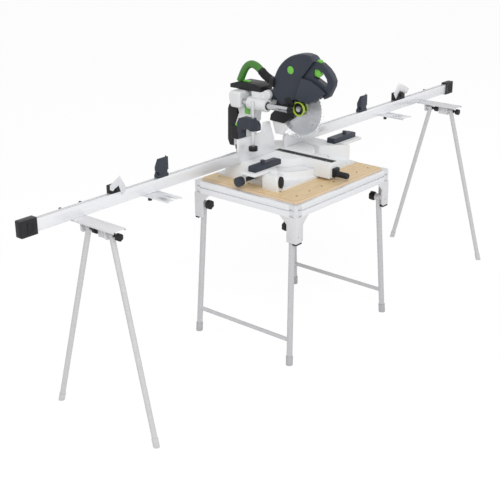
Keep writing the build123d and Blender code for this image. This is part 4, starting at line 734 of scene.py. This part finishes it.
# Saw head: moulded blade guard with a plain green badge and dark screws, motor, rear shell
# and handle. A green trigger and lock button sit in the handle.
shell_slate = surface("shell_slate", (0.034, 0.041, 0.057), roughness=0.50, metallic=0.0,
                      grain=(900, 900, 900), shade=0.10, spread=0.10, relief=0.0002, shine=0.35)
flap_white = surface("flap_white", (0.78, 0.79, 0.79), roughness=0.45, metallic=0.0,
                     grain=(500, 500, 500), shade=0.03, spread=0.08)
flap_line, plate_line = at(0, 0, 1035.5).z, at(-2.0, 0, 0).x
chip_far, chip_low = at(11.5, 8.5, 0), at(0, 0, 1146.5).z


def guard_finish(points):
    """0 for the guard, 1 for the white flap, 2 for the dust block and the guard's plate."""
    if min(p.z for p in points) < flap_line:
        return 1
    thin = max(p.x for p in points) < chip_far.x
    block = thin and max(p.z for p in points) < chip_low and min(p.y for p in points) > chip_far.y
    return 2 if block or min(p.x for p in points) < plate_line else 0


skin("blade_guard", "upper_guard", [slate_plastic, flap_white, moulded_black], edge=0.0018,
     segments=3, paint=guard_finish)
skin("motor_housing", "motor_and_shell", [shell_slate], edge=0.0018, segments=3)
skin("saw_handle", "main_handle", [slate_plastic], edge=0.0045, segments=4)
skin("trigger", "trigger_key", [accent_green], edge=0.0014)
skin("lock_button", "lock_key", [accent_green], edge=0.0014)
guard_face_x, guard_screw_places = 1.5, ((12.0, 1346.0), (-84.0, 1359.0))
badge_place = at(guard_face_x, 18.0, 1300.0)
badge = [(18.6, 0.0), (18.6, 1.7), (17.8, 2.3), (13.0, 2.7), (6.0, 2.9), (0, 3.0)]
turned("guard_badge", badge, accent_green, place=badge_place, towards=(-1, 0, 0), body="head",
       steps=56)
head_screw = [(2.9, 0.0), (2.9, 0.8), (2.4, 1.2), (1.3, 1.2), (1.3, 0.3), (0, 0.3)]
for place, (y, z) in enumerate(guard_screw_places):
    turned(f"guard_screw_{place}", head_screw, moulded_black, place=at(guard_face_x, y, z),
           towards=(-1, 0, 0), body="head", steps=24)


# Small green and black fittings: a clip at the foot of the hose, plates in the column's
# windows, a tab on the side box, and wiper rings where the rods enter the sleeves.
# Each block is given by its lowest and highest corner, the width of its rounding and its body.
fittings = [("hose_clip", (3.0, 278.0, 1205.0), (21.0, 322.0, 1213.0), 0.003, "carriage"),
            ("window_plate_left", (-12.5, 263.0, 1050.0), (-7.5, 299.0, 1084.0), 0.0015, "column"),
            ("window_plate_right", (67.5, 263.0, 1050.0), (72.5, 299.0, 1084.0), 0.0015, "column"),
            ("side_box_tab", (-36.0, 322.0, 985.0), (-20.0, 344.0, 999.0), 0.003, "column")]
wiper = [(15.3, 0.0), (18.5, 0.0), (19.5, 1.0), (19.0, 3.0), (15.8, 3.0), (15.3, 0.0)]
rod_places, rod_z = (("left", -33.0), ("right", 93.0)), 1117.0
sleeve_front, sleeve_rear = 132.0, 245.0


def block_piece(name, low, high, finish, edge, body):
    """A rounded block between two corners of the drawing."""
    a, b = at(*low), at(*high)
    mesh = block_mesh(name, *(b - a))
    mesh.transform(Matrix.Translation((a + b) / 2))
    mesh.materials.append(finish)
    piece = link(name, mesh)
    bevel = piece.modifiers.new("edge", "BEVEL")
    bevel.width = edge
    bevel.segments = 3
    baked(piece, name)
    smooth(piece.data)
    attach(piece, body)
    return piece


for name, low, high, edge, body in fittings:
    block_piece(name, low, high, accent_green, edge, body)
for side, x in rod_places:
    turned(f"wiper_{side}_front", wiper, moulded_black, place=at(x, sleeve_front, rod_z),
           towards=(0, -1, 0), body="carriage", steps=48)
    turned(f"wiper_{side}_rear", wiper, moulded_black, place=at(x, sleeve_rear, rod_z),
           towards=(0, 1, 0), body="carriage", steps=48)


# Motor: its moulded shell has air slots near the outer end, in a ring round the barrel. Thin
# black blocks stand for them, as painted shade for the dark inside of each slot. The ring's
# own axis is turned to lie along the motor.
vent_size, vent_count, vent_radius = (0.014, 0.0016, 0.0030), 30, 0.0379
vent_start, vent_sweep, vent_middle = 0.0, math.radians(348), at(148.0, 92.0, 1232.0)
quarter_turn = math.radians(90)
vent_place = Matrix.Translation(vent_middle) @ Matrix.Rotation(quarter_turn, 4, "Y")
vent_shade_mesh = block_mesh("motor_vent", *vent_size)
# Painted shade: black blocks on the shell where the slots are dark inside.
ring_of("motor_vent_shades", vent_shade_mesh, moulded_black, count=vent_count, radius=vent_radius,
        start=vent_start, sweep=vent_sweep, frame_of=vent_place, body="head")


# Blade: ground steel with fine rings from the wheel, bright teeth, and black clamping
# flanges with a bolt. It turns on the arbor, inside the guard.
arbor = at(saw_middle, -20.0, 1115.0)
bolt_radius, flange_radius, tooth_radius = 0.0145, 0.0285, 0.1245
wheel_scale, wheel_wobble, wheel_relief_share, wheel_relief = 60.0, 0.6, 0.1, 0.00005


def ground_steel(name, colour, roughness):
    """Bright steel with rings round the arbor."""
    finish = surface(name, colour, roughness=roughness, metallic=1.0, grain=(25, 25, 25),
                     shade=0.03, spread=0.05, relief=0.0)
    tree = finish.node_tree
    shader = tree.nodes["Principled BSDF"]
    place, shift, rings, bump = add_nodes(tree, "TexCoord", "Mapping", "TexWave", "Bump")
    shift.inputs["Location"].default_value = -arbor
    rings.wave_type = "RINGS"
    rings.rings_direction = "X"
    rings.inputs["Scale"].default_value = wheel_scale
    rings.inputs["Distortion"].default_value = wheel_wobble
    bump.inputs["Strength"].default_value = wheel_relief_share
    bump.inputs["Distance"].default_value = wheel_relief
    tree.links.new(place.outputs["Object"], shift.inputs[0])
    tree.links.new(shift.outputs[0], rings.inputs["Vector"])
    tree.links.new(rings.outputs["Fac"], bump.inputs["Height"])
    tree.links.new(bump.outputs[0], shader.inputs["Normal"])
    return finish


def from_arbor(point):
    """How far a point is from the arbor's axis."""
    return math.hypot(point.y - arbor.y, point.z - arbor.z)


def blade_finish(points):
    """0 for the ground disc, 1 for the teeth, 2 for the flanges, 3 for the bolt."""
    reach = [from_arbor(p) for p in points]
    if max(reach) < bolt_radius:
        return 3
    if max(reach) < flange_radius:
        return 2
    return int(min(reach) > tooth_radius)


blade_steel = ground_steel("ground_steel", (0.66, 0.67, 0.69), 0.26)
tooth_steel = surface("tooth_tips", (0.80, 0.80, 0.80), roughness=0.2, metallic=1.0,
                      grain=(400, 400, 400), shade=0.05, spread=0.05)
skin("saw_blade", "toothed_blade", [blade_steel, tooth_steel, moulded_black, pin_steel], edge=0.0,
     paint=blade_finish)


# Lower guard: clear plastic that turns back as the head comes down. Its wide ring round the
# arbor is yellow-green.
ring_radius, ring_side = 0.0412, at(saw_middle - 11.2, 0, 0).x
clear_share, clear_index, clear_cover = 0.9, 1.1, 0.22


def clear_finish():
    """Clear plastic that lets most of the light through."""
    finish = surface("clear_plastic", (0.93, 0.95, 0.96), roughness=0.08, metallic=0.0,
                     grain=(60, 60, 60), shade=0.01, spread=0.03, relief=0.00005)
    shader = finish.node_tree.nodes["Principled BSDF"]
    shader.inputs["Transmission Weight"].default_value = clear_share
    shader.inputs["IOR"].default_value = clear_index
    shader.inputs["Alpha"].default_value = clear_cover
    return finish


def lower_guard_finish(points):
    """1 on the ring, which stands out of the guard on its left."""
    near = max(from_arbor(p) for p in points) < ring_radius
    return int(near and min(p.x for p in points) < ring_side)


skin("lower_guard", "clear_guard_cover", [clear_finish(), ring_green], edge=0.0,
     paint=lower_guard_finish)


# Hose: smooth green hose from the dust port to the guard, with a black ribbed cuff on its
# last part. The route repeats the drawing's points.
hose_side, hose_radius, rib_height = 12.0, 0.0185, 0.0026
hose_points = [(345.0, 1206.5), (330.0, 1240.0), (305.0, 1281.0), (272.0, 1299.0), (238.0, 1292.0),
               (207.0, 1271.0), (176.0, 1245.0), (131.0, 1228.0)]
cuff_start, cuff_end, cuff_lead, rib_count = 0.68, 0.95, 0.012, 9
rib_gain, rib_drop = 1.9, 0.35
route_steps, route_order, hose_steps, hose_around = 24, 3, 260, 36
round_off = 1e-9
hose_green = surface("hose_green", (0.045, 0.19, 0.022), roughness=0.32, metallic=0.0,
                     grain=(200, 200, 200), shade=0.08, spread=0.08, relief=0.0003)


def hose_path():
    """Points along the route's smooth line."""
    curve = bpy.data.curves.new("hose_route", "CURVE")
    curve.dimensions = "3D"
    curve.resolution_u = route_steps
    line = curve.splines.new("NURBS")
    line.points.add(len(hose_points) - 1)
    for point, (y, z) in zip(line.points, hose_points):
        point.co = (*at(hose_side, y, z), 1)
    line.order_u = route_order
    line.use_endpoint_u = True
    holder = bpy.data.objects.new("hose_route", curve)
    mesh = bpy.data.meshes.new_from_object(holder)
    points = [v.co.copy() for v in mesh.vertices]
    bpy.data.objects.remove(holder)
    bpy.data.meshes.remove(mesh)
    return points


def along_path(points, lengths, share):
    """The place and heading at this share of the path; lengths are measured from its start."""
    want = share * lengths[-1]
    i = max(j for j, length in enumerate(lengths) if length <= want + round_off)
    i = min(i, len(points) - 2)
    part = (want - lengths[i]) / (lengths[i + 1] - lengths[i])
    heading = (points[i + 1] - points[i]).normalized()
    if part > 0.5 and i + 2 < len(points):
        after = (points[i + 2] - points[i + 1]).normalized()
        heading = heading.lerp(after, part - 0.5).normalized()
    elif part < 0.5 and i > 0:
        before = (points[i] - points[i - 1]).normalized()
        heading = heading.lerp(before, 0.5 - part).normalized()
    return points[i].lerp(points[i + 1], part), heading


def hose_reach(share):
    """The hose's radius at this share of its length: ribs on the cuff, smooth elsewhere."""
    if not cuff_start <= share <= cuff_end:
        return hose_radius
    phase = (share - cuff_start) / (cuff_end - cuff_start) * rib_count
    wave = rib_gain * math.sin(math.pi * (phase % 1.0)) - rib_drop
    return hose_radius + rib_height * min(1.0, max(0.0, wave))


def hose():
    """The hose as one closed piece, with the points and the length of its middle line."""
    points = hose_path()
    lengths = [0.0]
    for a, b in zip(points, points[1:]):
        lengths.append(lengths[-1] + (b - a).length)
    work = bmesh.new()
    rings = []
    side = Vector((1, 0, 0))
    for k in range(hose_steps + 1):
        place, heading = along_path(points, lengths, k / hose_steps)
        up, radius = heading.cross(side), hose_reach(k / hose_steps)
        turns = [2 * math.pi * n / hose_around for n in range(hose_around)]
        rings.append([work.verts.new(place + side * radius * math.cos(a)
                                     + up * radius * math.sin(a)) for a in turns])
    for k in range(hose_steps):
        for n in range(hose_around):
            m = (n + 1) % hose_around
            face = work.faces.new((rings[k][n], rings[k][m], rings[k + 1][m], rings[k + 1][n]))
            face.material_index = int(k / hose_steps >= cuff_start - cuff_lead)
    for ring in (list(reversed(rings[0])), rings[-1]):
        work.faces.new(ring).material_index = int(ring is rings[-1])
    bmesh.ops.recalc_face_normals(work, faces=work.faces)
    mesh = bpy.data.meshes.new("hose")
    work.to_mesh(mesh)
    work.free()
    mesh.materials.append(hose_green)
    mesh.materials.append(moulded_black)
    smooth(mesh)
    return link("green_hose", mesh), points, lengths[-1]


hose_piece, hose_line, hose_length = hose()
tuple(hose_line[0])
[tuple(p) for p in hose_line]
tuple(hose_line[0])
tuple(hose_line[-1])
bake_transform(hose_piece)
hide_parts("dust_hose")
